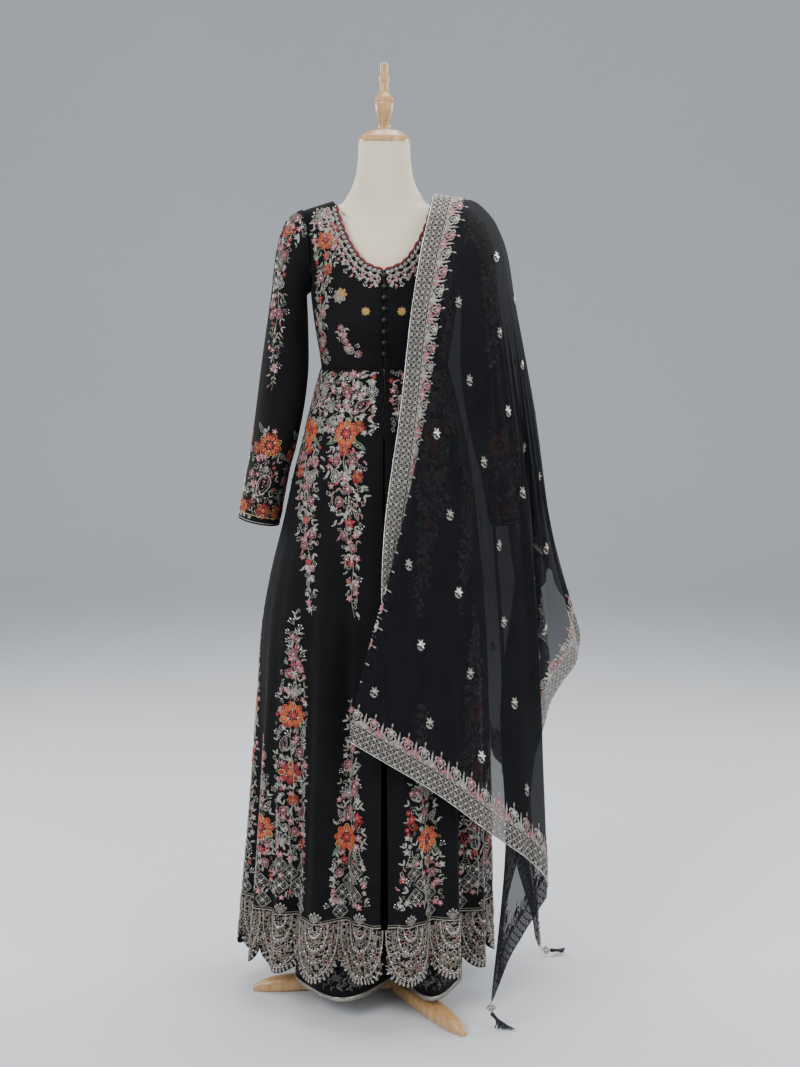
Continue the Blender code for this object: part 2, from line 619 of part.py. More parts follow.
def sleeve_surface(side):
    """A sleeve: u round it from the shoulder tip by the front, v from the armhole to the cuff."""
    along = column(SLEEVE_RINGS, "along")
    shapes = [column(SLEEVE_RINGS, n) for n in ("outer_x", "outer_z", "inner_x", "inner_z", "depth")]

    def surface(u, v):
        outer_x, outer_z, inner_x, inner_z, depth = (spline(v, along, shape) for shape in shapes)
        turn = 2 * math.pi * u
        middle_x, middle_z = 0.5 * (outer_x + inner_x), 0.5 * (outer_z + inner_z)
        reach_x, reach_z = 0.5 * (outer_x - inner_x), 0.5 * (outer_z - inner_z)
        crease = np.sin(math.pi * np.clip((v - 0.25) / 0.75, 0, 1)) * np.sin(turn * 2 + 9 * v)
        swell = 1 - SLEEVE_CREASE_DEPTH / 0.05 * crease * 0.5
        x = middle_x + reach_x * np.cos(turn) * swell
        z = middle_z + reach_z * np.cos(turn)
        y = -depth * np.sin(turn) * swell
        tube = np.stack([side * x, y, z], axis=-1)
        seam = armhole_loop(u, side)
        outward = seam - np.array([side * 0.10, 0.0, 1.43])
        outward = outward / np.linalg.norm(outward, axis=-1, keepdims=True)
        seam = seam + np.array([side * 0.0022, 0.0, 0.0]) + outward * 0.0016
        share = smooth_step(v / 0.10)[..., None]
        return seam * (1 - share) + tube * share

    return surface


def leg_section(leg, height):
    """A palazzo leg's centre, half width and depths at a height below the crotch."""
    share = np.clip((CROTCH - height) / (CROTCH - PALAZZO_HEM), 0, 1)
    hip = ring_sizes(FORM_RINGS, np.array(0.86))
    outer_top = (hip[0] + PALAZZO_EASE + 0.004)
    inner = CROTCH_ACROSS + (0.002 if leg.centre > 0 else -0.002)
    side = 1 if leg.centre > 0 else -1
    outer_hem = leg.centre + side * leg.half_width
    inner_hem = leg.centre - side * leg.half_width
    outer = side * outer_top + (outer_hem - side * outer_top) * share
    inside = inner + (inner_hem - inner) * smooth_step(share * 1.2)
    front = hip[1] + 0.006 + (leg.front - hip[1] - 0.006) * share ** 0.8
    back = hip[2] + 0.006 + (leg.back - hip[2] - 0.006) * share ** 0.8
    return 0.5 * (outer + inside), 0.5 * np.abs(outer - inside), front, back


def palazzo_surface(leg, face):
    """A trouser panel: u from the side seam to the rise and inseam, v from the hem to the waist."""
    side = 1 if leg.centre > 0 else -1

    def surface(u, v):
        height = np.interp(v, np.linspace(0, 1, len(LEG_HEIGHTS)), LEG_HEIGHTS)
        # Below the crotch: half of the leg's own tube.
        centre, half_width, front, back = leg_section(leg, np.minimum(height, CROTCH))
        trim = 0.5 * SEAM_GAP / half_width
        sweep = trim + (math.pi - 2 * trim) * u
        waves = LEG_WAVE_DEPTH * np.cos(LEG_WAVES * sweep * face) * smooth_step((CROTCH - height) / 0.6)
        depth = np.where(face < 0, front, back)
        tube_x = centre + side * (half_width - np.abs(waves) * 0.4) * np.cos(sweep)
        tube_y = face * (depth + waves - LEG_WAVE_DEPTH) * np.sin(sweep) ** ROUND
        # Above it: half of the hips, from the side seam to the centre line.
        body_height = np.maximum(height, FORM_RINGS[0].height)
        hip_width, hip_front, hip_back = ring_sizes(FORM_RINGS, body_height)
        turn = 0.5 * math.pi * u
        ease = PALAZZO_EASE + (PALAZZO_WAIST_EASE - PALAZZO_EASE) * smooth_step((height - 1.02) / 0.06)
        hip_depth = np.where(face < 0, hip_front, hip_back) + ease
        hip_x = side * (hip_width + ease) * np.cos(turn) ** ROUND
        hip_x = hip_x + side * 0.5 * SEAM_GAP
        hip_y = face * hip_depth * np.sin(turn) ** ROUND
        share = smooth_step((height - CROTCH + 0.03) / 0.08)
        x = tube_x * (1 - share) + hip_x * share
        y = tube_y * (1 - share) + hip_y * share + face * 0.5 * SEAM_GAP
        return np.stack([x, y, height + 0 * x], axis=-1)

    return surface


def lane_blend(keys, rows, lane):
    """A smooth curve across the lanes, where rows has one value a lane along its last axis."""
    slopes = np.gradient(rows, keys, axis=-1)
    lane = np.clip(lane, keys[0], keys[-1])
    low = np.clip(np.searchsorted(keys, lane, side="right") - 1, 0, len(keys) - 2)
    step = keys[low + 1] - keys[low]
    t = (lane - keys[low]) / step

    def pick(values, index):
        return np.take_along_axis(values, index[..., None], axis=-1)[..., 0]

    start = (1 + 2 * t) * (1 - t) ** 2 * pick(rows, low) + t * (1 - t) ** 2 * step * pick(slopes, low)
    end = t * t * (3 - 2 * t) * pick(rows, low + 1) - t * t * (1 - t) * step * pick(slopes, low + 1)
    return start + end


def dupatta_lane(lane, cloth, face):
    """The dupatta at a length of cloth down a lane. face is -1 in front and 1 behind."""
    lanes = FRONT_LANES if face < 0 else BACK_LANES
    keys = column(lanes, "lane")
    knots = column(DROPS, "cloth")
    lane, cloth = np.broadcast_arrays(np.asarray(lane, float), np.asarray(cloth, float))
    length = cloth * lane_blend(keys, np.broadcast_to(column(lanes, "slack"), lane.shape + keys.shape), lane)
    heights = column(DROPS, "height")
    feet = [np.append(heights[:-1], row.foot) for row in lanes]
    places = []
    for rows in ([row.xs for row in lanes], [row.ys for row in lanes], feet):
        at_length = np.stack([spline(length, knots, row) for row in rows], axis=-1)
        places.append(lane_blend(keys, at_length, lane))
    x, y, z = places
    z = z + RIDGE_RISE * (1 - smooth_step(lane)) * smooth_step(1 - length / 0.12)
    return np.stack([x, y, z], axis=-1)


def lane_reach(lane, inset):
    """The length of a lane to the dupatta's edge, or to a line set in from it."""
    angle = np.clip(lane - 1, 0, 1) * 0.5 * math.pi
    to_end = (DUPATTA_HALF - inset) / np.maximum(np.cos(angle), 1e-6)
    to_side = (DUPATTA_WIDTH - ON_SHOULDER - inset) / np.maximum(np.sin(angle), 1e-6)
    return np.minimum(to_end, to_side)


def dupatta_at(turn, cloth):
    """The dupatta all round the shoulder: turn is the lane in front up to 2, and 4 less the lane
    behind. The two share the shoulder line, which ends at lane 1."""
    turn, cloth = np.broadcast_arrays(np.asarray(turn, float), np.asarray(cloth, float))
    shoulder = cloth < 1e-6
    lane = np.minimum(np.minimum(turn, 4 - turn), np.where(shoulder, 1, 2))
    front = dupatta_lane(lane, cloth, -1)
    back = dupatta_lane(lane, cloth, 1)
    return np.where(((turn <= 2) | shoulder)[..., None], front, back)


def turn_columns(first):
    """The turns of a grid from a lane in front to the same lane behind: each row of the tables and the
    place between."""
    front = column(FRONT_LANES, "lane")
    back = 4 - column(BACK_LANES, "lane")[::-1]
    keys = np.concatenate([front, back[1:]])
    turns = np.sort(np.concatenate([keys, 0.5 * (keys[1:] + keys[:-1])]))
    inside = turns[(turns > first + 0.06) & (turns < 4 - first - 0.06)]
    return np.concatenate([[first], inside, [4 - first]])


def add_object(name, mesh, material):
    """A named object of the part, with its material."""
    made = bpy.data.objects.new(name, mesh)
    mesh.materials.append(MATERIALS[material])
    PARTS.objects.link(made)
    return made


def draped_grid(surface, columns, rows):
    """A grid primitive laid on a surface function of u and v, with touching edges welded."""
    work = bmesh.new()
    bmesh.ops.create_grid(work, x_segments=columns, y_segments=rows, size=1.0)
    flat = np.array([vertex.co[:2] for vertex in work.verts], float)
    u = np.clip(0.5 * (flat[:, 0] + 1), 0, 1)
    v = np.clip(0.5 * (flat[:, 1] + 1), 0, 1)
    for vertex, point in zip(work.verts, surface(u, v)):
        vertex.co = Vector(point)
    bmesh.ops.remove_doubles(work, verts=work.verts, dist=2e-6)
    return work


def cloth(name, surface, columns, rows, wall, material, flip=False):
    """A piece of cloth: a draped grid with a wall behind it."""
    work = draped_grid(surface, columns, rows)
    if flip:
        bmesh.ops.reverse_faces(work, faces=work.faces)
    mesh = bpy.data.meshes.new(name)
    work.to_mesh(mesh)
    work.free()
    mesh.shade_smooth()
    made = add_object(name, mesh, material)
    thick = made.modifiers.new("wall", "SOLIDIFY")
    thick.thickness = wall
    thick.offset = -1.0
    return made


def capped_solid(name, surface, columns, rows, material):
    """A closed solid: a draped tube with flat ends."""
    work = draped_grid(surface, columns, rows)
    rims = [edge for edge in work.edges if edge.is_boundary]
    bmesh.ops.holes_fill(work, edges=rims, sides=0)
    bmesh.ops.recalc_face_normals(work, faces=work.faces)
    mesh = bpy.data.meshes.new(name)
    work.to_mesh(mesh)
    work.free()
    mesh.shade_smooth()
    mesh.set_sharp_from_angle(angle=math.radians(40))
    return add_object(name, mesh, material)


def turned(name, profile, base, steps, material):
    """A turned piece: a profile of radii and heights spun round the upright axis."""

    def surface(u, v):
        places = np.linspace(0, 1, len(profile))
        radius = np.interp(v, places, column(profile, "radius"))
        height = base + np.interp(v, places, column(profile, "height"))
        angle = 2 * math.pi * u
        return np.stack([radius * np.cos(angle), radius * np.sin(angle), height], axis=-1)

    return capped_solid(name, surface, steps, len(profile) - 1, material)


def walled(name, surface, columns, rows, wall, material, outward):
    """A piece of cloth whose inner side is its outer one moved in along the surface's own normals, so
    that pieces side by side on one surface keep their gap through the wall."""
    u, v = np.meshgrid(np.linspace(0, 1, columns + 1), np.linspace(0, 1, rows + 1), indexing="ij")
    u, v = u.ravel(), v.ravel()
    step = 0.002
    outer = surface(u, v)
    near_u = np.clip(u, step, 1 - step)
    near_v = np.clip(v, 0.02, 0.98)
    across = surface(near_u + step, near_v) - surface(near_u - step, near_v)
    along = surface(near_u, near_v + step) - surface(near_u, near_v - step)
    normal = outward * np.cross(across, along)
    normal = normal / np.linalg.norm(normal, axis=-1, keepdims=True)
    inner = outer - wall * normal
    work = bmesh.new()
    sides = [[work.verts.new(point) for point in layer] for layer in (outer, inner)]
    width = rows + 1
    rim = [(i, 0) for i in range(columns)] + [(columns, j) for j in range(rows)]
    rim += [(i, rows) for i in range(columns, 0, -1)] + [(0, j) for j in range(rows, 0, -1)]
    for i in range(columns):
        for j in range(rows):
            ring = [i * width + j, (i + 1) * width + j, (i + 1) * width + j + 1, i * width + j + 1]
            work.faces.new([sides[0][k] for k in ring])
            work.faces.new([sides[1][k] for k in reversed(ring)])
    for here, ahead in zip(rim, rim[1:] + rim[:1]):
        a, b = here[0] * width + here[1], ahead[0] * width + ahead[1]
        work.faces.new([sides[0][b], sides[0][a], sides[1][a], sides[1][b]])
    bmesh.ops.recalc_face_normals(work, faces=work.faces)
    mesh = bpy.data.meshes.new(name)
    work.to_mesh(mesh)
    work.free()
    mesh.shade_smooth()
    mesh.set_sharp_from_angle(angle=math.radians(50))
    return add_object(name, mesh, material)


def make_form():
    """The dress form with its neck cap and finial."""
    capped_solid("form_torso", form_surface, 26, len(FORM_RINGS) - 1, "form_cloth")
    turned("neck_cap", CAP_PROFILE, NECK_TOP, 24, "wood")
    turned("finial", FINIAL_PROFILE, NECK_TOP, 10, "wood")


def stand_leg_surface(angle):
    """A stand leg: u round its rounded section, v from the hub to its toe."""
    reaches = column(LEG_RINGS, "reach")
    outward = np.array([math.sin(angle), -math.cos(angle)])
    sideways = np.array([math.cos(angle), math.sin(angle)])

    def surface(u, v):
        reach = reaches[0] + (LEG_REACH - reaches[0]) * v
        half_width = np.interp(reach, reaches, column(LEG_RINGS, "half_width"))
        low = np.interp(reach, reaches, column(LEG_RINGS, "low"))
        high = np.interp(reach, reaches, column(LEG_RINGS, "high"))
        turn = 2 * math.pi * u
        side = half_width * np.sign(np.cos(turn)) * np.abs(np.cos(turn)) ** 0.45
        up = np.sign(np.sin(turn)) * np.abs(np.sin(turn)) ** 0.7
        height = np.where(up < 0, low + (1 + up) * 0.25 * (high - low), low + (0.25 + 0.75 * up) * (high - low))
        height = np.where(up < -0.8, low, height)
        plan = reach[:, None] * outward + side[:, None] * sideways
        return np.stack([plan[:, 0], plan[:, 1], height], axis=-1)

    return surface


def make_stand():
    """The pole, its hub and three low wooden legs."""
    pole = (Turn(POLE_RADIUS, HUB_TOP + 0.0004), Turn(POLE_RADIUS, FORM_RINGS[0].height - 0.0004))
    turned("pole", pole, 0.0, 16, "pole_metal")
    hub = (
        Turn(HUB_RADIUS - 0.004, 0.006),
        Turn(HUB_RADIUS, 0.010),
        Turn(HUB_RADIUS, 0.028),
        Turn(HUB_RADIUS - 0.006, HUB_TOP),
    )
    turned("stand_hub", hub, 0.0, 24, "wood")
    for number, degrees in enumerate(LEG_ANGLES, start=1):
        capped_solid(f"stand_leg_{number}", stand_leg_surface(math.radians(degrees)), 12, 10, "wood")


def make_bodice():
    """The gown's bodice: two fronts, the back in one piece and the neckline's edging."""
    for side, word in ((-1, "right"), (1, "left")):
        front = bodice_surface(side, -1, FRONT_NECKLINE)
        walled(f"bodice_front_{word}", front, 20, 7, GOWN_WALL, "black_cloth", side)
        walled(f"neck_edging_{word}", edging_surface(side), 36, 1, TRIM_WALL, "neck_edging", side)

    left = bodice_surface(1, 1, BACK_NECKLINE)
    right = bodice_surface(-1, 1, BACK_NECKLINE)

    def back(u, v):
        half = np.abs(2 * u - 1)
        points = np.where((u < 0.5)[:, None], right(half, v), left(half, v))
        points[:, 0] = np.where(half < 1e-6, 0.0, points[:, 0])
        return points

    cloth("bodice_back", back, 26, 7, GOWN_WALL, "black_cloth", flip=True)


def make_buttons():
    """Small ball buttons down the centre front."""
    for number in range(BUTTONS):
        height = NECK_DROP - 0.012 - number * (NECK_DROP - WAIST_SEAM - 0.02) / BUTTONS
        place = bodice_point(np.array(0.004), np.array(height), -1)
        work = bmesh.new()
        bmesh.ops.create_uvsphere(work, u_segments=6, v_segments=4, radius=BUTTON_RADIUS)
        bmesh.ops.translate(work, verts=work.verts,
                            vec=(0.0, place[1] - BUTTON_RADIUS - SEAM_GAP - 0.5 * LAY_GAP, height))
        mesh = bpy.data.meshes.new(f"button_{number + 1}")
        work.to_mesh(mesh)
        work.free()
        mesh.shade_smooth()
        add_object(f"button_{number + 1}", mesh, "black_cloth")


def make_gown():
    """The whole gown: bodice, buttons, gores and sleeves."""
    make_bodice()
    make_buttons()
    for number, name in enumerate(GORES):
        walled(name, gore_surface(number), 14, 7, GOWN_WALL, "black_cloth", 1)
    for side, word in ((-1, "right"), (1, "left")):
        cloth(f"sleeve_{word}", sleeve_surface(side), 16, 10, SLEEVE_WALL, "black_cloth", flip=side > 0)


def make_palazzo():
    """The palazzo trousers: a front and a back panel to each leg."""
    for leg in LEGS:
        for face, where in ((-1, "front"), (1, "back")):
            cloth(f"palazzo_{where}_{leg.side}", palazzo_surface(leg, face), 7, len(LEG_HEIGHTS) - 1,
                  PALAZZO_WALL, "black_cloth", flip=(leg.centre > 0) == (face < 0))


def make_braids():
    """The silver braid along each palazzo hem, laid on the panels."""
    for leg in LEGS:
        for face, where in ((-1, "front"), (1, "back")):
            panel = palazzo_surface(leg, face)
            outward = 1 if (leg.centre > 0) == (face < 0) else -1

            def braid(u, v, panel=panel, outward=outward):
                low = v * BRAID_HEIGHT / (LEG_HEIGHTS[1] - LEG_HEIGHTS[0]) / (len(LEG_HEIGHTS) - 1)
                near = np.clip(u, 0.002, 0.998)
                across = panel(near + 0.002, low) - panel(near - 0.002, low)
                along = panel(near, low + 0.002) - panel(near, low)
                normal = -outward * np.cross(across, along)
                normal = normal / np.linalg.norm(normal, axis=-1, keepdims=True)
                return panel(u, low) + normal * (LAY_GAP + TRIM_WALL)

            walled(f"palazzo_braid_{where}_{leg.side}", braid, 7, 1, TRIM_WALL, "silver_braid", -outward)


def unit(vectors):
    return vectors / np.maximum(np.linalg.norm(vectors, axis=-1, keepdims=True), 1e-9)


def wall_inside(outer, joined):
    """The inner side of a grid of cloth: each point moved in square to the average of the cloth on both
    sides of it, and further at a sharp fold, as in a mitre, so that the wall keeps its thickness there.
    joined says which columns have cloth up to the next."""
    down = unit(np.gradient(outer, axis=1))
    across = np.zeros_like(outer)
    steps = np.diff(outer, axis=0) * joined[:, None, None]
    for here, step in ((slice(0, -1), steps), (slice(1, None), steps)):
        level = step - (step * down[here]).sum(axis=-1, keepdims=True) * down[here]
        across[here] += unit(level)
    beside = np.concatenate([[0], joined]) + np.concatenate([joined, [0]])
    mitre = beside[:, None, None] / np.maximum(np.linalg.norm(across, axis=-1, keepdims=True), 1e-9)
    return outer - DUPATTA_WALL * np.minimum(mitre, MITRE_LIMIT) * unit(np.cross(down, across))


def dupatta_piece(name, turns, insets, falls, material):
    """A piece of the dupatta over some turns, with its wall. It falls from the shoulder line unless
    falls is False, and then has a row at each inset from the edge."""
    falling = np.linspace(0, 1, DUPATTA_ROWS) ** 1.15
    columns = []
    for turn in turns:
        lane = min(turn, 4 - turn)
        lengths = [lane_reach(lane, inset) for inset in insets]
        if falls:
            lengths = list(falling[:-1] * lane_reach(lane, BORDER_WIDTH + BORDER_GAP)) + lengths
        columns.append(dupatta_at(turn, np.array(lengths)))
    outer = np.array(columns)
    joined = np.diff(turns) < 1
    inner = wall_inside(outer, joined)
    if falls:
        inner[:, 0] = outer[:, 0] - np.array([0.0, 0.0, DUPATTA_WALL])
    work = bmesh.new()
    sides = [[[work.verts.new(point) for point in column] for column in side] for side in (outer, inner)]
    outer, inner = sides
    steps = len(outer[0])
    for i in np.flatnonzero(joined):
        # Both sides are split along the same diagonal, so that the wall keeps its thickness.
        for k in range(steps - 1):
            for side in sides:
                work.faces.new([side[i][k], side[i][k + 1], side[i + 1][k + 1]])
                work.faces.new([side[i][k], side[i + 1][k + 1], side[i + 1][k]])
        for k in [steps - 1] if falls else [0, steps - 1]:
            work.faces.new([outer[i][k], outer[i + 1][k], inner[i + 1][k], inner[i][k]])
    ends = np.flatnonzero(np.diff(np.concatenate([[False], joined, [False]])))
    for i in ends:
        for k in range(steps - 1):
            work.faces.new([outer[i][k], outer[i][k + 1], inner[i][k + 1], inner[i][k]])
    bmesh.ops.remove_doubles(work, verts=work.verts, dist=1e-6)
    bmesh.ops.recalc_face_normals(work, faces=work.faces)
    mesh = bpy.data.meshes.new(name)
    work.to_mesh(mesh)
    work.free()
    mesh.shade_smooth()
    mesh.set_sharp_from_angle(angle=math.radians(60))
    return add_object(name, mesh, material)


def make_dupatta():
    """The dupatta: its sheer field, the border down the neck side, and the one round the other edges."""
    neck_lane = BORDER_WIDTH / ON_SHOULDER
    gap_lane = neck_lane + BORDER_GAP / ON_SHOULDER
    inset = BORDER_WIDTH + BORDER_GAP
    across = (BORDER_WIDTH, 0.5 * BORDER_WIDTH, 0.0)
    turns = turn_columns(gap_lane)
    neck_turns = np.array([0.0, 0.5 * neck_lane, neck_lane, 4 - neck_lane, 4 - 0.5 * neck_lane, 4.0])
    dupatta_piece("dupatta_field", turns, (inset,), True, "black_sheer")
    dupatta_piece("dupatta_neck_border", neck_turns, (inset,) + across, True, "silver_border")
    dupatta_piece("dupatta_edge_border", turns, across, False, "silver_border")


def make_ornament(name, place, turn):
    """A small square ornament hung by its corner above a tassel."""
    work = bmesh.new()
    bmesh.ops.create_cube(work, size=1.0)
    bmesh.ops.scale(work, verts=work.verts, vec=(ORNAMENT_SIDE, ORNAMENT_THICK, ORNAMENT_SIDE))
    bmesh.ops.bevel(work, geom=work.edges[:], offset=0.0008, segments=1, affect="EDGES")
    bmesh.ops.transform(work, verts=work.verts,
                        matrix=Matrix.Translation(place) @ turn @ Matrix.Rotation(math.radians(45), 4, "Y"))
    mesh = bpy.data.meshes.new(name)
    work.to_mesh(mesh)
    work.free()
    add_object(name, mesh, "silver_braid")


def make_tassel(name, top, middle, spread, drop):
    """A tassel: locks drawn out of the underside of a small head, each from its own root. The head is
    at top, and the ends of the locks fan from middle by spread."""
    work = bmesh.new()
    toward = (Vector(middle) - Vector(top)).normalized()
    side = Vector(spread).normalized()
    cross = toward.cross(side).normalized()
    segments, rings = TASSEL_SEGMENTS, 2

    def head_point(angle, radius, length):
        return Vector(top) + toward * length + (side * math.cos(angle) + cross * math.sin(angle)) * radius

    levels = [(0.0, 0.4), (0.0008, 1.0), (TASSEL_HEAD, 1.0)]
    rows = []
    for length, share in levels:
        rows.append([work.verts.new(head_point(2 * math.pi * k / segments, TASSEL_RADIUS * share, length))
                     for k in range(segments)])
    for row, ahead in zip(rows, rows[1:]):
        for k in range(segments):
            n = (k + 1) % segments
            work.faces.new([row[k], row[n], ahead[n], ahead[k]])
    work.faces.new(list(reversed(rows[0])))
    under = []
    previous = rows[-1]
    for ring in range(1, rings):
        radius = TASSEL_RADIUS * (1 - ring / rings)
        inner = [work.verts.new(head_point(2 * math.pi * k / segments, radius, TASSEL_HEAD))
                 for k in range(segments)]
        for k in range(segments):
            n = (k + 1) % segments
            under.append(work.faces.new([previous[k], previous[n], inner[n], inner[k]]))
        previous = inner
    centre = work.verts.new(head_point(0.0, 0.0, TASSEL_HEAD))
    for k in range(segments):
        under.append(work.faces.new([previous[k], previous[(k + 1) % segments], centre]))
    bmesh.ops.recalc_face_normals(work, faces=work.faces)
    inset = bmesh.ops.inset_individual(work, faces=under, thickness=0.00022)
    for part in (0.35, 1.0):
        grown = bmesh.ops.extrude_discrete_faces(work, faces=under)
        under = grown["faces"]
        for face in under:
            middle_now = face.calc_center_median() - Vector(top)
            across = middle_now.dot(side) / TASSEL_RADIUS
            deep = middle_now.dot(cross) / TASSEL_RADIUS
            if part < 1:
                home = {vertex: vertex.co.copy() for vertex in face.verts}
                shift = (Vector(middle) - Vector(top)) * part + side * (0.25 * across * Vector(spread).length)
                for vertex in face.verts:
                    vertex.co = home[vertex] + shift - toward * TASSEL_HEAD * part
            else:
                across = (middle_now - (Vector(middle) - Vector(top)) * 0.35).dot(side)
                shift = (Vector(middle) - Vector(top)) * 0.60 + side * across * 1.6
                for vertex in face.verts:
                    vertex.co = vertex.co + shift
                    vertex.co.z = max(vertex.co.z, drop)
    mesh = bpy.data.meshes.new(name)
    work.to_mesh(mesh)
    work.free()
    add_object(name, mesh, "tassel_thread")


def settle():
    """Moves the whole part so that the origin is the middle of its footprint, on the floor."""
    depsgraph = bpy.context.evaluated_depsgraph_get()
    low = np.full(3, np.inf)
    high = np.full(3, -np.inf)
    for made in PARTS.objects:
        corners = np.array([vertex.co for vertex in made.evaluated_get(depsgraph).data.vertices], float)
        low = np.minimum(low, corners.min(axis=0))
        high = np.maximum(high, corners.max(axis=0))
    move = Vector((-(low[0] + high[0]) / 2, -(low[1] + high[1]) / 2, -low[2]))
    for made in PARTS.objects:
        made.data.transform(Matrix.Translation(move))


PARTS = clear_scene()
MATERIALS = make_materials()
SKIRT_CLOTH = cloth_share_table()
make_form()
make_stand()
make_gown()
make_palazzo()
make_braids()
make_dupatta()
make_ornament("ornament_front", (0.197, -0.184, 0.042), Matrix.Identity(4))
make_tassel("tassel_front", (0.1975, -0.1848, 0.0320), (0.224, -0.196, 0.005), (0.040, -0.005, 0.0), 0.003)
make_ornament("ornament_back", (0.330, 0.139, 0.0125), Matrix.Rotation(math.radians(-30), 4, "X"))
make_tassel("tassel_back", (0.3402, 0.1390, 0.0124), (0.368, 0.150, 0.007), (0.008, 0.030, 0.0), 0.003)
settle()
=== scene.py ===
"""The dressed palazzo suit: its cloth, needlework, dress form and studio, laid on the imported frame.

Metres, +Z up, the front faces -Y. The tables and surfaces are those of the part's own solids, about
the form's pole, and the scene gives them more points, finer folds and their embroidery.
"""

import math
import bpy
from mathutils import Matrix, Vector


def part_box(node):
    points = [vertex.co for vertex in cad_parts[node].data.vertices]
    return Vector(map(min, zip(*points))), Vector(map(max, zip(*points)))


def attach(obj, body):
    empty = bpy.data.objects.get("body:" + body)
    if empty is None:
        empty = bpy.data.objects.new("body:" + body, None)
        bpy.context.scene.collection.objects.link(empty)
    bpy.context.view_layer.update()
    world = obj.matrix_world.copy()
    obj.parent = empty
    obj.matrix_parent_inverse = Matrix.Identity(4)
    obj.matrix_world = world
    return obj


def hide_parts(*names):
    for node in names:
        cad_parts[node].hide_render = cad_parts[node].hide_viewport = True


bl_info = {
    "name": "Palazzo Suit",
    "version": (1, 0, 0),
    "blender": (4, 5, 0),
    "location": "3D View > Sidebar > Palazzo Suit",
    "description": "An embroidered gown, palazzo trousers and a dupatta on a dress form",
    "category": "Add Mesh",
}

from collections import namedtuple
from functools import lru_cache

import bmesh
import bpy
import numpy as np
from bpy.props import FloatProperty, FloatVectorProperty, PointerProperty
from mathutils import Vector

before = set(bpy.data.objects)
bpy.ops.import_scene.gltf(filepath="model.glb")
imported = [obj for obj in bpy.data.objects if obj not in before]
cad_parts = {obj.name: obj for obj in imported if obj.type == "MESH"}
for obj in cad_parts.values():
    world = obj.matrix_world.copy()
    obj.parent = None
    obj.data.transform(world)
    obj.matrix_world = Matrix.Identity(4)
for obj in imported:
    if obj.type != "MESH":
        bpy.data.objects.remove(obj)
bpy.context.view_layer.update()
POLE_LOW, POLE_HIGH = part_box("pole")
AXIS = np.array([0.5 * (POLE_LOW[0] + POLE_HIGH[0]), 0.5 * (POLE_LOW[1] + POLE_HIGH[1]), 0.0])

# Walls and gaps of the cloth.
SEAM_GAP = 0.0005
LAY_GAP = 0.0004
TRIM_WALL = 0.001
TRIM_SKIN = TRIM_WALL * 0.8
SIDES = ((-1, "right"), (1, "left"))

# Heights of the suit above the floor.
WAIST_SEAM = 1.213
GOWN_HEM = 0.088
PALAZZO_HEM = 0.041
CROTCH = 0.74
NECK_DROP = 1.391
ARMHOLE_FOOT = 1.352
ARMHOLE_HEAD = 1.5
BODICE_EASE = 0.006
BODICE_LIFT = 0.009
BUST_HEIGHT = 1.29
BUST_SIDE = 0.06
BUST_RISE = 0.022
BUST_SPREAD = 0.052

# Corner rounding of every body section: 1 is an ellipse, less is squarer.
ROUND = 0.87

Ring = namedtuple("Ring", "height half_width front back")
FORM_RINGS = (
    Ring(0.8, 0.146, 0.094, 0.102),
    Ring(0.9, 0.158, 0.104, 0.114),
    Ring(1.0, 0.138, 0.096, 0.098),
    Ring(1.1, 0.108, 0.088, 0.082),
    Ring(1.213, 0.112, 0.094, 0.086),
    Ring(1.3, 0.126, 0.102, 0.092),
    Ring(1.38, 0.134, 0.092, 0.088),
    Ring(1.43, 0.146, 0.076, 0.078),
    Ring(1.455, 0.155, 0.064, 0.068),
    Ring(1.475, 0.155, 0.055, 0.06),
    Ring(1.49, 0.14, 0.048, 0.053),
    Ring(1.499, 0.112, 0.046, 0.05),
    Ring(1.507, 0.086, 0.045, 0.048),
    Ring(1.526, 0.067, 0.045, 0.047),
    Ring(1.545, 0.057, 0.046, 0.047),
    Ring(1.58, 0.049, 0.046, 0.046),
    Ring(1.618, 0.047, 0.046, 0.046),
)
NECK_TOP = 1.618

# The neckline from the centre front to the neck point: how far out it is at each height.
NeckStep = namedtuple("NeckStep", "across height")
FRONT_NECKLINE = (
    NeckStep(0.0, 1.388),
    NeckStep(0.034, 1.403),
    NeckStep(0.058, 1.434),
    NeckStep(0.075, 1.47),
    NeckStep(0.086, 1.506),
)
BACK_NECKLINE = (
    NeckStep(0.0, 1.462),
    NeckStep(0.04, 1.468),
    NeckStep(0.07, 1.484),
    NeckStep(0.086, 1.506),
)
SHOULDER_TIP_ACROSS = 0.15
NECK_SHARE = 0.45
SHOULDER_SHARE = 0.65
EDGING_WIDTH = 0.009
EDGING_STAND = 0.003
EDGING_SCALLOPS = 9

# The skirt's sections over the crests of its folds, with its reach to the wearer's right and left.
SkirtRing = namedtuple("SkirtRing", "height right left front back")
SKIRT_RINGS = (
    SkirtRing(0.08, 0.294, 0.222, 0.202, 0.215),
    SkirtRing(0.176, 0.284, 0.218, 0.198, 0.21),
    SkirtRing(0.379, 0.262, 0.21, 0.188, 0.197),
    SkirtRing(0.578, 0.244, 0.201, 0.177, 0.183),
    SkirtRing(0.773, 0.226, 0.19, 0.163, 0.165),
    SkirtRing(0.86, 0.208, 0.182, 0.154, 0.155),
    SkirtRing(0.92, 0.192, 0.175, 0.148, 0.148),
    SkirtRing(1.0, 0.174, 0.165, 0.139, 0.137),
    SkirtRing(1.08, 0.153, 0.15, 0.128, 0.122),
    SkirtRing(1.153, 0.134, 0.133, 0.117, 0.108),
    SkirtRing(1.213, 0.1176, 0.1176, 0.1012, 0.092),
)

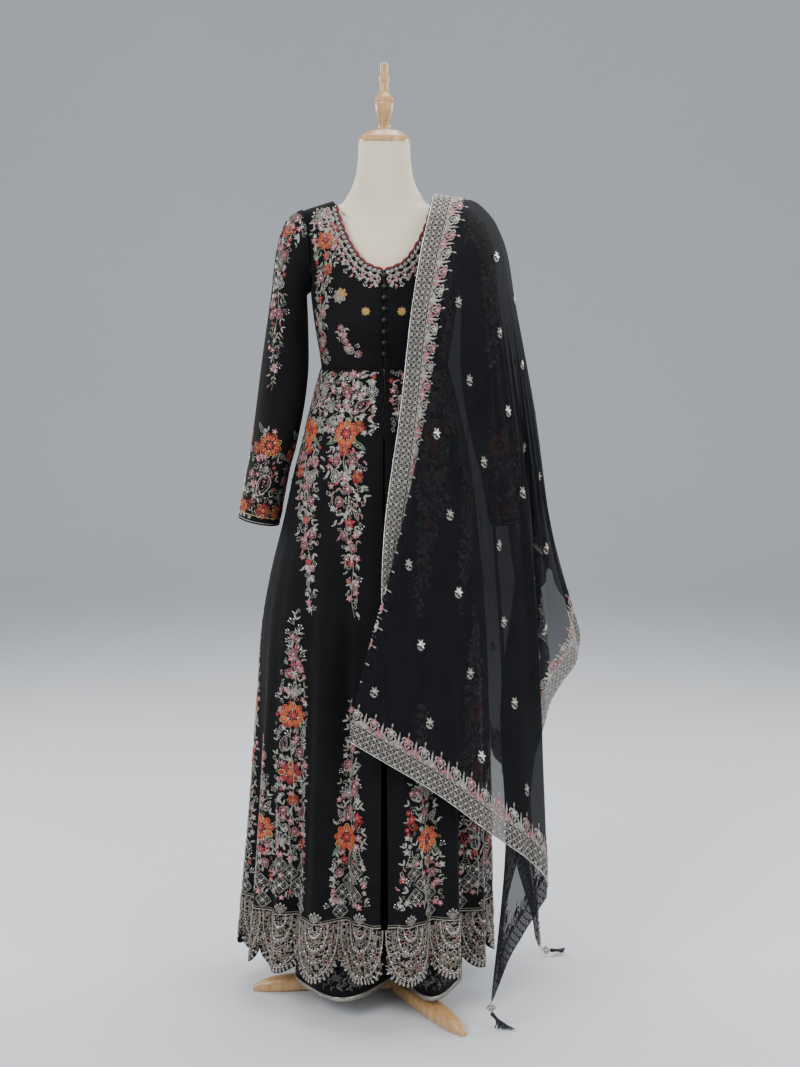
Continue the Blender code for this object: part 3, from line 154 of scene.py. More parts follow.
# The skirt's folds: where each valley lies round the hem, its half width and its depth at the hem.
Fold = namedtuple("Fold", "angle spread depth start")
SKIRT_FOLDS = (
    Fold(24, 7, 0.03, 0.85),
    Fold(47, 8, 0.034, 0.9),
    Fold(70, 8, 0.026, 0.7),
    Fold(94, 9, 0.034, 0.95),
    Fold(118, 8, 0.028, 0.75),
    Fold(142, 9, 0.032, 1.0),
    Fold(166, 8, 0.026, 0.8),
    Fold(191, 9, 0.034, 1.0),
    Fold(216, 8, 0.026, 0.75),
    Fold(241, 8, 0.032, 0.95),
    Fold(263, 7, 0.02, 0.6),
    Fold(286, 8, 0.028, 0.8),
    Fold(306, 6, 0.024, 0.55),
    Fold(322, 7, 0.036, 1.0),
    Fold(346, 6, 0.034, 1.1),
)
GORES = (
    "gore_front_left_centre",
    "gore_front_left_side",
    "gore_back_left_side",
    "gore_back_left_centre",
    "gore_back_right_centre",
    "gore_back_right_side",
    "gore_front_right_side",
    "gore_front_right_centre",
)
OPENING_AT_WAIST = 0.0012
OPENING_AT_HEM = 0.016
HEM_LOBES = 16
HEM_LOBE_RISE = 0.044

# A sleeve's rings: its outer and inner edges seen from the front, and its half depth.
SleeveRing = namedtuple("SleeveRing", "along outer_x outer_z inner_x inner_z depth")
SLEEVE_RINGS = (
    SleeveRing(0.0, 0.16, 1.497, 0.146, 1.35, 0.05),
    SleeveRing(0.05, 0.171, 1.49, 0.145, 1.346, 0.057),
    SleeveRing(0.12, 0.184, 1.471, 0.144, 1.34, 0.06),
    SleeveRing(0.22, 0.197, 1.428, 0.143, 1.318, 0.061),
    SleeveRing(0.36, 0.209, 1.34, 0.142, 1.27, 0.06),
    SleeveRing(0.52, 0.224, 1.235, 0.145, 1.195, 0.059),
    SleeveRing(0.68, 0.24, 1.13, 0.158, 1.105, 0.058),
    SleeveRing(0.84, 0.257, 1.03, 0.181, 1.01, 0.056),
    SleeveRing(1.0, 0.275, 0.934, 0.2, 0.918, 0.055),
)
SLEEVE_CREASE_DEPTH = 0.004

# The palazzo: each leg's section at the hem, and the pole passing down inside the right leg.
Leg = namedtuple("Leg", "side centre half_width front back")
LEGS = (
    Leg("right", -0.08, 0.098, 0.158, 0.145),
    Leg("left", 0.088, 0.063, 0.154, 0.14),
)
CROTCH_ACROSS = 0.0225
LEG_WAVES = 4
LEG_WAVE_DEPTH = 0.01
BRAID_HEIGHT = 0.009
PALAZZO_EASE = 0.007
PALAZZO_WAIST_EASE = 0.0042
LEG_HEIGHTS = (0.041, 0.13, 0.26, 0.42, 0.58, 0.68, 0.715, 0.745, 0.77, 0.795, 0.85, 0.9, 0.95,
               1.01, 1.085)

# The dupatta: half its length from the shoulder line to an end, its width, and the part that lies
# on the shoulder before it falls over the sleeve.
DUPATTA_HALF = 1.05
DUPATTA_WIDTH = 0.76
ON_SHOULDER = 0.12

# How high a lane of the dupatta is at each length of cloth from the shoulder line.
Drop = namedtuple("Drop", "cloth height")
DROPS = (
    Drop(0.0, 1.52),
    Drop(0.035, 1.512),
    Drop(0.07, 1.488),
    Drop(0.12, 1.445),
    Drop(0.23, 1.337),
    Drop(0.415, 1.152),
    Drop(0.64, 0.927),
    Drop(0.97, 0.6),
    Drop(1.25, 0.32),
    Drop(1.48, 0.09),
)
RIDGE_RISE = 0.0076

# Lanes run from the shoulder to the dupatta's edge. Lanes 0 to 1 fall side by side from the part on
# the shoulder, and 1 to 2 fan out round the shoulder tip. Each stretches by its slack, ends at its
# foot, a height in metres, and has xs and ys in millimetres at the lengths of DROPS.
Lane = namedtuple("Lane", "lane slack foot xs ys")
CORNER = 1 + math.atan2(DUPATTA_WIDTH - ON_SHOULDER, DUPATTA_HALF) / (0.5 * math.pi)
FRONT_LANES = (
    Lane(0.0, 0.957, 0.09, (88, 87, 81, 70, 51, 30, 0, 0, 10, 20),
         (0, -30, -68, -100, -152, -150, -172, -182, -190, -200)),
    Lane(0.45, 0.975, 0.09, (116, 115, 110, 106, 94, 75, 40, -26, -40, -40),
         (0, -29, -64, -96, -142, -148, -172, -206, -225, -240)),
    Lane(1.0, 1.026, 0.09, (150, 150, 150, 149, 143, 131, 106, 60, 30, 20),
         (0, -26, -58, -86, -124, -140, -166, -208, -240, -250)),
    Lane(1.1, 1.1, 0.09, (150, 154, 160, 168, 174, 186, 192, 185, 160, 150),
         (0, -22, -52, -80, -105, -122, -145, -180, -205, -220)),
    Lane(1.22, 1.17, 0.09, (150, 158, 171, 187, 202, 228, 265, 287, 300, 305),
         (0, -18, -43, -67, -87, -97, -104, -130, -150, -160)),
    Lane(1.29, 1.194, 0.09, (150, 161, 177, 196, 212, 240, 262, 245, 268, 245),
         (0, -16, -36, -58, -77, -88, -90, -120, -146, -174)),
    Lane(CORNER, 1.212, 0.052, (150, 163, 182, 202, 219, 246, 248, 212, 222, 197.3),
         (0, -14, -31, -50, -68, -78, -78, -128, -142, -184)),
    Lane(1.42, 1.12, 0.09, (150, 165, 186, 207, 225, 251, 270, 262, 268, 250),
         (0, -12, -26, -43, -60, -70, -72, -96, -112, -120)),
    Lane(1.47, 1.05, 0.09, (150, 166, 189, 210, 229, 257, 286, 302, 300, 290),
         (0, -10, -22, -37, -52, -62, -62, -80, -90, -90)),
    Lane(1.54, 1.04, 0.09, (150, 168, 192, 213, 234, 267, 304, 394, 430, 440),
         (0, -7, -16, -28, -38, -38, -30, 16, 30, 30)),
    Lane(1.64, 1.02, 0.09, (150, 170, 195, 217, 238, 275, 306, 370, 430, 440),
         (0, -3, -8, -16, -22, -6, 12, 60, 100, 100)),
    Lane(1.74, 1.0, 0.09, (150, 171, 196, 218, 240, 268, 291, 330, 360, 370),
         (0, 0, 0, -3, -4, 16, 42, 85, 100, 100)),
    Lane(1.84, 1.0, 0.09, (150, 171, 195, 217, 240, 272, 312, 350, 400, 400),
         (0, 3, 8, 9, 14, 36, 62, 115, 120, 120)),
    Lane(2.0, 1.0, 0.09, (150, 170, 193, 214, 236, 260, 291, 318, 350, 350),
         (0, 8, 17, 26, 38, 52, 82, 125, 140, 140)),
)
BACK_LANES = (
    Lane(0.0, 0.98, 0.09, (88, 87, 81, 74, 66, 55, 36, 22, 18, 15),
         (0, 30, 64, 92, 124, 146, 180, 222, 250, 270)),
    Lane(0.45, 0.985, 0.09, (116, 114, 111, 108, 104, 98, 84, 76, 76, 76),
         (0, 28, 60, 88, 120, 146, 182, 225, 250, 270)),
    Lane(1.0, 0.99, 0.09, (150, 150, 150, 150, 147, 142, 128, 130, 132, 134),
         (0, 24, 53, 83, 112, 130, 164, 205, 230, 245)),
    Lane(1.07, 1.0, 0.09, (150, 151, 154, 158, 157, 158, 155, 175, 192, 195),
         (0, 24, 53, 82, 110, 138, 192, 250, 272, 285)),
    Lane(1.14, 1.04, 0.09, (150, 153, 158, 165, 167, 170, 172, 190, 212, 214),
         (0, 23, 53, 80, 106, 120, 158, 196, 206, 215)),
    Lane(1.22, 1.1, 0.09, (150, 154, 163, 174, 180, 194, 208, 236, 248, 250),
         (0, 22, 52, 77, 100, 130, 188, 246, 262, 265)),
    Lane(1.28, 1.15, 0.05, (150, 156, 167, 180, 188, 196, 216, 246, 256, 268),
         (0, 21, 50, 74, 96, 112, 150, 182, 168, 130)),
    Lane(CORNER, 1.204, 0.012, (150, 158, 170, 184, 194, 216, 254, 300, 300, 319),
         (0, 20, 48, 71, 94, 124, 182, 222, 200, 138.8)),
    Lane(1.42, 1.1, 0.09, (150, 159, 172, 187, 199, 214, 240, 282, 275, 275),
         (0, 20, 47, 68, 91, 104, 138, 166, 150, 150)),
    Lane(1.47, 1.04, 0.09, (150, 161, 176, 192, 206, 236, 282, 330, 335, 335),
         (0, 19, 44, 64, 87, 112, 164, 190, 190, 190)),
    Lane(1.54, 1.02, 0.09, (150, 163, 180, 197, 213, 234, 268, 318, 340, 345),
         (0, 18, 40, 59, 80, 94, 130, 142, 175, 180)),
    Lane(1.64, 1.01, 0.09, (150, 165, 184, 202, 221, 254, 306, 345, 420, 425),
         (0, 16, 36, 53, 72, 94, 138, 185, 180, 185)),
    Lane(1.74, 1.0, 0.09, (150, 167, 188, 207, 228, 250, 287, 312, 360, 365),
         (0, 14, 31, 46, 62, 76, 102, 150, 160, 165)),
    Lane(1.84, 1.0, 0.09, (150, 169, 191, 211, 234, 266, 313, 350, 410, 410),
         (0, 12, 26, 38, 52, 68, 104, 150, 150, 150)),
    Lane(2.0, 1.0, 0.09, (150, 170, 193, 214, 236, 260, 291, 318, 350, 350),
         (0, 8, 17, 26, 38, 52, 82, 125, 140, 140)),
)

# The stand.
POLE_RADIUS = 0.011
HUB_TOP = 0.034
HUB_RADIUS = 0.034
LEG_REACH = 0.26
LEG_ANGLES = (34.55, 154.55, 274.55)
StandRing = namedtuple("StandRing", "reach half_width low high")
LEG_RINGS = (
    StandRing(0.0345, 0.011, 0.006, 0.029),
    StandRing(0.07, 0.016, 0.005, 0.031),
    StandRing(0.12, 0.019, 0.004, 0.032),
    StandRing(0.17, 0.019, 0.002, 0.031),
    StandRing(0.205, 0.017, 0.0, 0.028),
    StandRing(0.24, 0.012, 0.0, 0.02),
    StandRing(0.26, 0.005, 0.0, 0.009),
)

# The turned finial: its radius at each height above the neck's top.
Turn = namedtuple("Turn", "radius height")
CAP_PROFILE = (
    Turn(0.0478, 0.0004),
    Turn(0.0482, 0.005),
    Turn(0.045, 0.011),
    Turn(0.035, 0.019),
    Turn(0.033, 0.0212),
    Turn(0.014, 0.0216),
)
FINIAL_PROFILE = (
    Turn(0.014, 0.022),
    Turn(0.0112, 0.026),
    Turn(0.0112, 0.033),
    Turn(0.012, 0.0355),
    Turn(0.0105, 0.0375),
    Turn(0.0118, 0.04),
    Turn(0.0108, 0.0425),
    Turn(0.012, 0.0455),
    Turn(0.016, 0.059),
    Turn(0.0172, 0.07),
    Turn(0.0165, 0.0735),
    Turn(0.0176, 0.0755),
    Turn(0.016, 0.081),
    Turn(0.009, 0.091),
    Turn(0.0078, 0.106),
    Turn(0.0095, 0.112),
    Turn(0.0098, 0.118),
    Turn(0.0075, 0.124),
    Turn(0.0078, 0.1405),
    Turn(0.006, 0.1421),
)

BUTTONS = 8
BUTTON_RADIUS = 0.0042
ORNAMENT_SIDE = 0.014
TASSEL_RADIUS = 0.004
TASSEL_HEAD = 0.006

# Fine folds of the dupatta in a quarter turn of its fan.
FINE_FOLDS = 20


def column(table, name):
    """One named column of a table, as an array."""
    return np.array([getattr(row, name) for row in table], float)


def spline(x, knots, values):
    """A smooth curve through a table's rows, read at x. knots rise, and values may hold points."""
    knots = np.asarray(knots, float)
    values = np.asarray(values, float)
    slopes = np.gradient(values, knots, axis=0)
    x = np.clip(np.asarray(x, float), knots[0], knots[-1])
    low = np.clip(np.searchsorted(knots, x, side="right") - 1, 0, len(knots) - 2)
    step = knots[low + 1] - knots[low]
    t = (x - knots[low]) / step
    if values.ndim > 1:
        shape = t.shape + (1,) * (values.ndim - 1)
        t = t.reshape(shape)
        step = step.reshape(shape)
    return between(t, step, values[low], values[low + 1], slopes[low], slopes[low + 1])


def between(t, step, here, ahead, slope, next_slope):
    """A smooth curve from one value to the next, a share t along the step between them."""
    start = (1 + 2 * t) * (1 - t) ** 2 * here + t * (1 - t) ** 2 * step * slope
    end = t * t * (3 - 2 * t) * ahead - t * t * (1 - t) * step * next_slope
    return start + end


def unit(vectors):
    """The directions of vectors."""
    return vectors / np.maximum(np.linalg.norm(vectors, axis=-1, keepdims=True), 1e-12)


def course(line, closed=False):
    """The direction of a line at each of its points."""
    if closed:
        return unit(np.roll(line, -1, axis=0) - np.roll(line, 1, axis=0))
    return unit(np.gradient(line, axis=0))


def turned_step(degrees, reach=1.0):
    """A step of some reach, turned clockwise by degrees from straight up."""
    angle = math.radians(degrees)
    return np.array([math.sin(angle), math.cos(angle)]) * reach


def smooth_step(x):
    x = np.clip(x, 0.0, 1.0)
    return x * x * (3 - 2 * x)


def ring_sizes(table, height, names=("half_width", "front", "back")):
    """The sizes of a table of rings at a height."""
    heights = column(table, "height")
    return [spline(height, heights, column(table, name)) for name in names]


def round_section(angle, half_width, front, back):
    """A point of a rounded section. Angle 0 faces the front (-Y) and 90 degrees is at +X."""
    sine = np.sin(angle)
    cosine = np.cos(angle)
    x = half_width * np.sign(sine) * np.abs(sine) ** ROUND
    depth = np.where(cosine > 0, front, back)
    y = -depth * np.sign(cosine) * np.abs(cosine) ** ROUND
    return x, y


def section_depth(share):
    """How much of its full depth a section has at a share of its half width."""
    power = 2.0 / ROUND
    return (1.0 - np.clip(np.abs(share), 0.0, 1.0) ** power) ** (1.0 / power)


def bust_rise(x, height):
    """How far the two rounded sides of the bust stand out at a point of the front."""
    above = (height - BUST_HEIGHT) / BUST_SPREAD
    right = np.exp(-((x - BUST_SIDE) / BUST_SPREAD) ** 2 - above ** 2)
    left = np.exp(-((x + BUST_SIDE) / BUST_SPREAD) ** 2 - above ** 2)
    return BUST_RISE * (right + left)


def form_surface(u, v):
    """The dress form's skin: u goes round from the back, v from the bottom to the top of the neck."""
    height = np.interp(v, np.linspace(0, 1, len(FORM_RINGS)), column(FORM_RINGS, "height"))
    half_width, front, back = ring_sizes(FORM_RINGS, height)
    angle = 2 * math.pi * u
    x, y = round_section(angle, half_width, front, back)
    y = y - np.where(np.cos(angle) > 0, bust_rise(x, height), 0.0)
    return np.stack([x, y, height], axis=-1)


def bodice_point(x, height, face, lift=0.0):
    """A point on the bodice at a distance across and a height, or at a lift above it. face is -1 at the
    front and 1 at the back."""
    half_width, front, back = ring_sizes(FORM_RINGS, height - BODICE_LIFT - lift)
    ease = BODICE_EASE + lift
    share = x / (half_width + ease)
    if face < 0:
        y = -(front + ease) * section_depth(share) - bust_rise(x, height)
    else:
        y = (back + ease) * section_depth(share)
    return np.stack([x + 0 * y, y, height + 0 * y], axis=-1)


def bodice_half_width(height):
    return ring_sizes(FORM_RINGS, height - BODICE_LIFT)[0] + BODICE_EASE


def shoulder_height(across):
    """The height of the shoulder ridge at a distance across, on the bodice."""
    heights = np.linspace(1.48, 1.52, 41)
    widths = bodice_half_width(heights)
    return np.interp(across, widths[::-1], heights[::-1]) - 0.0006


def armhole_edge(turn):
    """The armhole from the shoulder tip (0) to the underarm (1): how far across, and how high."""
    height = ARMHOLE_FOOT + (ARMHOLE_HEAD - ARMHOLE_FOOT) * (0.5 + 0.5 * np.cos(math.pi * turn))
    tip = SHOULDER_TIP_ACROSS
    foot = bodice_half_width(np.array(ARMHOLE_FOOT))
    across = tip + (foot - tip) * turn - 0.01 * np.sin(math.pi * turn)
    top = shoulder_height(across)
    return across, np.minimum(height, top)


def bodice_top(u, neckline):
    """The upper edge of half a bodice from the centre to the side: neckline, shoulder, armhole."""
    steps = np.linspace(0, 1, len(neckline))
    along_neck = np.clip(u / NECK_SHARE, 0, 1)
    neck_x = spline(along_neck, steps, column(neckline, "across"))
    neck_z = np.minimum(spline(along_neck, steps, column(neckline, "height")), shoulder_height(neck_x))
    along_shoulder = np.clip((u - NECK_SHARE) / (SHOULDER_SHARE - NECK_SHARE), 0, 1)
    shoulder_x = neckline[-1].across + (SHOULDER_TIP_ACROSS - neckline[-1].across) * along_shoulder
    armhole_x, armhole_z = armhole_edge(np.clip((u - SHOULDER_SHARE) / (1 - SHOULDER_SHARE), 0, 1))
    x = np.where(u <= NECK_SHARE, neck_x, np.where(u <= SHOULDER_SHARE, shoulder_x, armhole_x))
    shoulder_z = shoulder_height(shoulder_x)
    z = np.where(u <= NECK_SHARE, neck_z, np.where(u <= SHOULDER_SHARE, shoulder_z, armhole_z))
    return x, z


def bodice_surface(side, face, neckline):
    """Half a bodice: u from the centre to the side seam, v from the waist seam to the upper edge. Past
    that edge the cloth turns over the shoulder, to the seam on its ridge."""

    def surface(u, v):
        turned_over = (v > 1) & (u > NECK_SHARE - 1e-6) & (u < SHOULDER_SHARE + 1e-6)
        v = np.minimum(v, 1)
        top_x, top_z = bodice_top(u, neckline)
        waist = bodice_half_width(np.array(WAIST_SEAM))
        bottom_x = waist * np.sin(0.5 * math.pi * u) ** ROUND
        rise = 1 - (1 - v) ** 1.35
        height = WAIST_SEAM + 0.5 * SEAM_GAP + (top_z - WAIST_SEAM - 0.5 * SEAM_GAP) * rise
        x = bottom_x + (top_x - bottom_x) * rise
        x = np.minimum(x, bodice_half_width(height) * np.where(u > 0.995, 1.0, 0.9995))
        x = np.maximum(x, SEAM_GAP / 2)
        points = bodice_point(x, height, face)
        points[..., 0] *= side
        points[..., 1] = np.where(turned_over, 0, points[..., 1]) + face * SEAM_GAP / 2
        return points

    return surface


def edging_surface(side):
    """The neckline's scalloped edging: u from the centre front to the neck point, v across it."""

    def surface(u, v):
        x, z = bodice_top(np.clip(u, 0.01, 0.985) * NECK_SHARE, FRONT_NECKLINE)
        ahead_x, ahead_z = bodice_top(np.clip(u, 0.01, 0.985) * NECK_SHARE + 0.004, FRONT_NECKLINE)
        along = unit(np.stack([ahead_x - x, ahead_z - z], axis=-1))
        scallop = EDGING_STAND * np.abs(np.sin(math.pi * EDGING_SCALLOPS * u)) ** 0.7
        reach = scallop - (EDGING_WIDTH + scallop) * (1 - v)
        x = np.maximum(x - along[..., 1] * reach, SEAM_GAP)
        z = z + along[..., 0] * reach
        points = bodice_point(x, z, -1, LAY_GAP + TRIM_WALL)
        points[..., 0] *= side
        points[..., 1] -= SEAM_GAP / 2
        return points

    return surface


def skirt_fold_depth(angle, height):
    """How deep the skirt's folds lie at an angle and a height."""
    degrees = np.degrees(angle) % 360.0
    depth = np.zeros_like(degrees + height)
    for fold in SKIRT_FOLDS:
        away = (degrees - fold.angle + 180.0) % 360.0 - 180.0
        growth = smooth_step((fold.start - height) / (fold.start - GOWN_HEM)) ** 0.8
        depth = depth + fold.depth * growth * np.exp(-(away / fold.spread) ** 2)
    return depth


def skirt_point(angle, height):
    """A point on the gown's skirt at an angle round the form and a height."""
    right, left, front, back = ring_sizes(SKIRT_RINGS, height, ("right", "left", "front", "back"))
    depth = skirt_fold_depth(angle, height)
    half_width = np.where(np.sin(angle) < 0, right, left)
    x, y = round_section(angle, half_width - depth, front - depth, back - depth)
    return np.stack([x, y, height + 0 * x], axis=-1)


def cloth_share_table():
    """How the angle round the skirt goes with the share of its cloth, measured along the hem."""
    angles = np.linspace(0, 2 * math.pi, 2881)
    points = skirt_point(angles, np.full_like(angles, GOWN_HEM + 0.03))
    steps = np.linalg.norm(np.diff(points, axis=0), axis=1)
    length = np.concatenate([[0.0], np.cumsum(steps)])
    return angles, length / length[-1], length[-1]


def skirt_angle(share):
    """The angle round the skirt at a share of its cloth from the front opening."""
    angles, shares, _ = SKIRT_CLOTH
    return np.interp(share, shares, angles)


def hem_height(share):
    """The scalloped hem: round lobes that meet in raised notches."""
    lobe = (HEM_LOBES * np.asarray(share)) % 1.0
    across = 0.985 * np.abs(2 * lobe - 1)
    return GOWN_HEM + HEM_LOBE_RISE * (1 - np.sqrt(1 - across ** 2))


def opening_width(height):
    """The width of the gown's front opening, which widens towards the hem."""
    share = (WAIST_SEAM - height) / (WAIST_SEAM - GOWN_HEM)
    return OPENING_AT_WAIST + (OPENING_AT_HEM - OPENING_AT_WAIST) * share ** 1.5


def gore_surface(number):
    """One gore of the skirt: u across it, v from the hem to the waist seam."""
    each = 1.0 / len(GORES)
    last = len(GORES) - 1

    def surface(u, v):
        low = hem_height(np.clip(each * (number + u), 1e-4, 1 - 1e-4))
        top = WAIST_SEAM - 0.5 * SEAM_GAP
        height = low + (top - low) * v ** 1.05
        girth = SKIRT_CLOTH[2] * (0.36 + 0.64 * (WAIST_SEAM - height) / (WAIST_SEAM - GOWN_HEM))
        start = (0.5 * opening_width(height) if number == 0 else 0.5 * SEAM_GAP) / girth
        end = (0.5 * opening_width(height) if number == last else 0.5 * SEAM_GAP) / girth
        share = each * number + start + (each - start - end) * u
        return skirt_point(skirt_angle(share), height)

    return surface


def armhole_loop(turn, side):
    """The seam round the shoulder, turn 0 at the tip, 0.25 in front, 0.5 under the arm, 0.75 behind."""
    half = np.abs(((turn + 0.5) % 1.0) - 0.5) * 2
    across, height = armhole_edge(half)
    front = bodice_point(across, height, -1)
    back = bodice_point(across, height, 1)
    before = (turn % 1.0) < 0.5
    points = np.where(before[..., None], front, back)
    points[..., 0] = points[..., 0] * side
    return points


def sleeve_surface(side):
    """A sleeve: u round it from the shoulder tip by the front, v from the armhole to the cuff."""
    along = column(SLEEVE_RINGS, "along")
    shapes = [column(SLEEVE_RINGS, n) for n in ("outer_x", "outer_z", "inner_x", "inner_z", "depth")]

    def surface(u, v):
        outer_x, outer_z, inner_x, inner_z, depth = (spline(v, along, shape) for shape in shapes)
        turn = 2 * math.pi * u
        middle_x, middle_z = 0.5 * (outer_x + inner_x), 0.5 * (outer_z + inner_z)
        reach_x, reach_z = 0.5 * (outer_x - inner_x), 0.5 * (outer_z - inner_z)
        crease = np.sin(math.pi * np.clip((v - 0.25) / 0.75, 0, 1)) * np.sin(turn * 2 + 9 * v)
        swell = 1 - SLEEVE_CREASE_DEPTH / 0.05 * crease * 0.5
        x = middle_x + reach_x * np.cos(turn) * swell
        z = middle_z + reach_z * np.cos(turn)
        y = -depth * np.sin(turn) * swell
        tube = np.stack([side * x, y, z], axis=-1)
        seam = armhole_loop(u, side)
        outward = unit(seam - np.array([side * 0.1, 0.0, 1.43]))
        seam = seam + np.array([side * 0.0022, 0.0, 0.0]) + outward * 0.0016
        share = smooth_step(v / 0.1)[..., None]
        return seam * (1 - share) + tube * share

    return surface


def leg_section(leg, height):
    """A palazzo leg's centre, half width and depths at a height below the crotch."""
    share = np.clip((CROTCH - height) / (CROTCH - PALAZZO_HEM), 0, 1)
    hip = ring_sizes(FORM_RINGS, np.array(0.86))
    outer_top = (hip[0] + PALAZZO_EASE + 0.004)
    inner = CROTCH_ACROSS + (0.002 if leg.centre > 0 else -0.002)
    side = 1 if leg.centre > 0 else -1
    outer_hem = leg.centre + side * leg.half_width
    inner_hem = leg.centre - side * leg.half_width
    outer = side * outer_top + (outer_hem - side * outer_top) * share
    inside = inner + (inner_hem - inner) * smooth_step(share * 1.2)
    front = hip[1] + 0.006 + (leg.front - hip[1] - 0.006) * share ** 0.8
    back = hip[2] + 0.006 + (leg.back - hip[2] - 0.006) * share ** 0.8
    return 0.5 * (outer + inside), 0.5 * np.abs(outer - inside), front, back


def palazzo_surface(leg, face):
    """A trouser panel: u from the side seam to the rise and inseam, v from the hem to the waist."""
    side = 1 if leg.centre > 0 else -1

    def surface(u, v):
        height = np.interp(v, np.linspace(0, 1, len(LEG_HEIGHTS)), LEG_HEIGHTS)
        # Below the crotch: half of the leg's own tube.
        centre, half_width, front, back = leg_section(leg, np.minimum(height, CROTCH))
        trim = 0.5 * SEAM_GAP / half_width
        sweep = trim + (math.pi - 2 * trim) * u
        waves = LEG_WAVE_DEPTH * np.cos(LEG_WAVES * sweep * face) * smooth_step((CROTCH - height) / 0.6)
        depth = np.where(face < 0, front, back)
        tube_x = centre + side * (half_width - np.abs(waves) * 0.4) * np.cos(sweep)
        tube_y = face * (depth + waves - LEG_WAVE_DEPTH) * np.sin(sweep) ** ROUND
        # Above it: half of the hips, from the side seam to the centre line.
        body_height = np.maximum(height, FORM_RINGS[0].height)
        hip_width, hip_front, hip_back = ring_sizes(FORM_RINGS, body_height)
        turn = 0.5 * math.pi * u
        ease = PALAZZO_EASE + (PALAZZO_WAIST_EASE - PALAZZO_EASE) * smooth_step((height - 1.02) / 0.06)
        hip_depth = np.where(face < 0, hip_front, hip_back) + ease
        hip_x = side * (hip_width + ease) * np.cos(turn) ** ROUND
        hip_x = hip_x + side * 0.5 * SEAM_GAP
        hip_y = face * hip_depth * np.sin(turn) ** ROUND
        share = smooth_step((height - CROTCH + 0.03) / 0.08)
        x = tube_x * (1 - share) + hip_x * share
        y = tube_y * (1 - share) + hip_y * share + face * 0.5 * SEAM_GAP
        return np.stack([x, y, height + 0 * x], axis=-1)

    return surface


def lane_blend(keys, rows, lane):
    """A smooth curve across the lanes, where rows has one value a lane along its last axis."""
    slopes = np.gradient(rows, keys, axis=-1)
    lane = np.clip(lane, keys[0], keys[-1])
    low = np.clip(np.searchsorted(keys, lane, side="right") - 1, 0, len(keys) - 2)
    step = keys[low + 1] - keys[low]
    t = (lane - keys[low]) / step

    def pick(values, index):
        return np.take_along_axis(values, index[..., None], axis=-1)[..., 0]

    return between(t, step, pick(rows, low), pick(rows, low + 1), pick(slopes, low), pick(slopes, low + 1))


def dupatta_lane(lane, cloth, face):
    """The dupatta at a length of cloth down a lane. face is -1 in front and 1 behind."""
    lanes = FRONT_LANES if face < 0 else BACK_LANES
    keys = column(lanes, "lane")
    knots = column(DROPS, "cloth")
    lane, cloth = np.broadcast_arrays(np.asarray(lane, float), np.asarray(cloth, float))
    length = cloth * lane_blend(keys, np.broadcast_to(column(lanes, "slack"), lane.shape + keys.shape), lane)
    heights = column(DROPS, "height")
    feet = [np.append(heights[:-1], row.foot) for row in lanes]
    places = []
    for rows in (column(lanes, "xs") / 1000, column(lanes, "ys") / 1000, feet):
        at_length = np.stack([spline(length, knots, row) for row in rows], axis=-1)
        places.append(lane_blend(keys, at_length, lane))
    x, y, z = places
    z = z + RIDGE_RISE * (1 - smooth_step(lane)) * smooth_step(1 - length / 0.12)
    return np.stack([x, y, z], axis=-1)


def lane_reach(lane):
    """The length of a lane to the dupatta's edge."""
    angle = np.clip(lane - 1, 0, 1) * 0.5 * math.pi
    to_end = DUPATTA_HALF / np.maximum(np.cos(angle), 1e-6)
    to_side = (DUPATTA_WIDTH - ON_SHOULDER) / np.maximum(np.sin(angle), 1e-6)
    return np.minimum(to_end, to_side)


def dupatta_at(turn, cloth):
    """The dupatta all round the shoulder: turn is the lane in front up to 2, and 4 less the lane
    behind. The two share the shoulder line, which ends at lane 1."""
    turn, cloth = np.broadcast_arrays(np.asarray(turn, float), np.asarray(cloth, float))
    shoulder = cloth < 1e-6
    lane = np.minimum(np.minimum(turn, 4 - turn), np.where(shoulder, 1, 2))
    front = dupatta_lane(lane, cloth, -1)
    back = dupatta_lane(lane, cloth, 1)
    return np.where(((turn <= 2) | shoulder)[..., None], front, back)


def dupatta_normal(turn, cloth):
    """The dupatta's outward direction, which is straight up along the shoulder line."""
    cloth = np.asarray(cloth, float)
    low, high = np.maximum(cloth - 0.002, 0.008), np.maximum(cloth + 0.002, 0.012)
    across = dupatta_at(turn + 0.01, high) - dupatta_at(turn - 0.01, high)
    down = dupatta_at(turn, high) - dupatta_at(turn, low)
    return np.where((cloth < 1e-6)[..., None], np.array([0.0, 0.0, 1.0]), unit(np.cross(down, across)))


def skirt_ripple(angle, height):
    """Finer folds than the solids hold, growing towards the hem."""
    growth = smooth_step((1.12 - height) / 0.9)
    waves = np.sin(23 * angle + 0.6 * np.sin(3 * angle)) + 0.7 * np.sin(37 * angle + 2.0 + 3 * height)
    return bpy.context.scene.suit_sizes.skirt_ripple * growth * waves


def rippled(points):
    """Points of the skirt moved in and out by its finer folds."""
    outward = unit(points[..., :2])
    angle = np.arctan2(points[..., 0], -points[..., 1])
    points[..., :2] -= outward * skirt_ripple(angle, points[..., 2])[..., None]
    return points


def gore_skin(number):
    """One gore with its finer folds: u across it, v from the hem to the waist seam."""
    plain = gore_surface(number)
    return lambda u, v: rippled(plain(u, v))


def skirt_ground(share, height):
    """The skirt by the share of its cloth and the height, for the needlework."""
    return rippled(skirt_point(skirt_angle(share % 1.0), height))


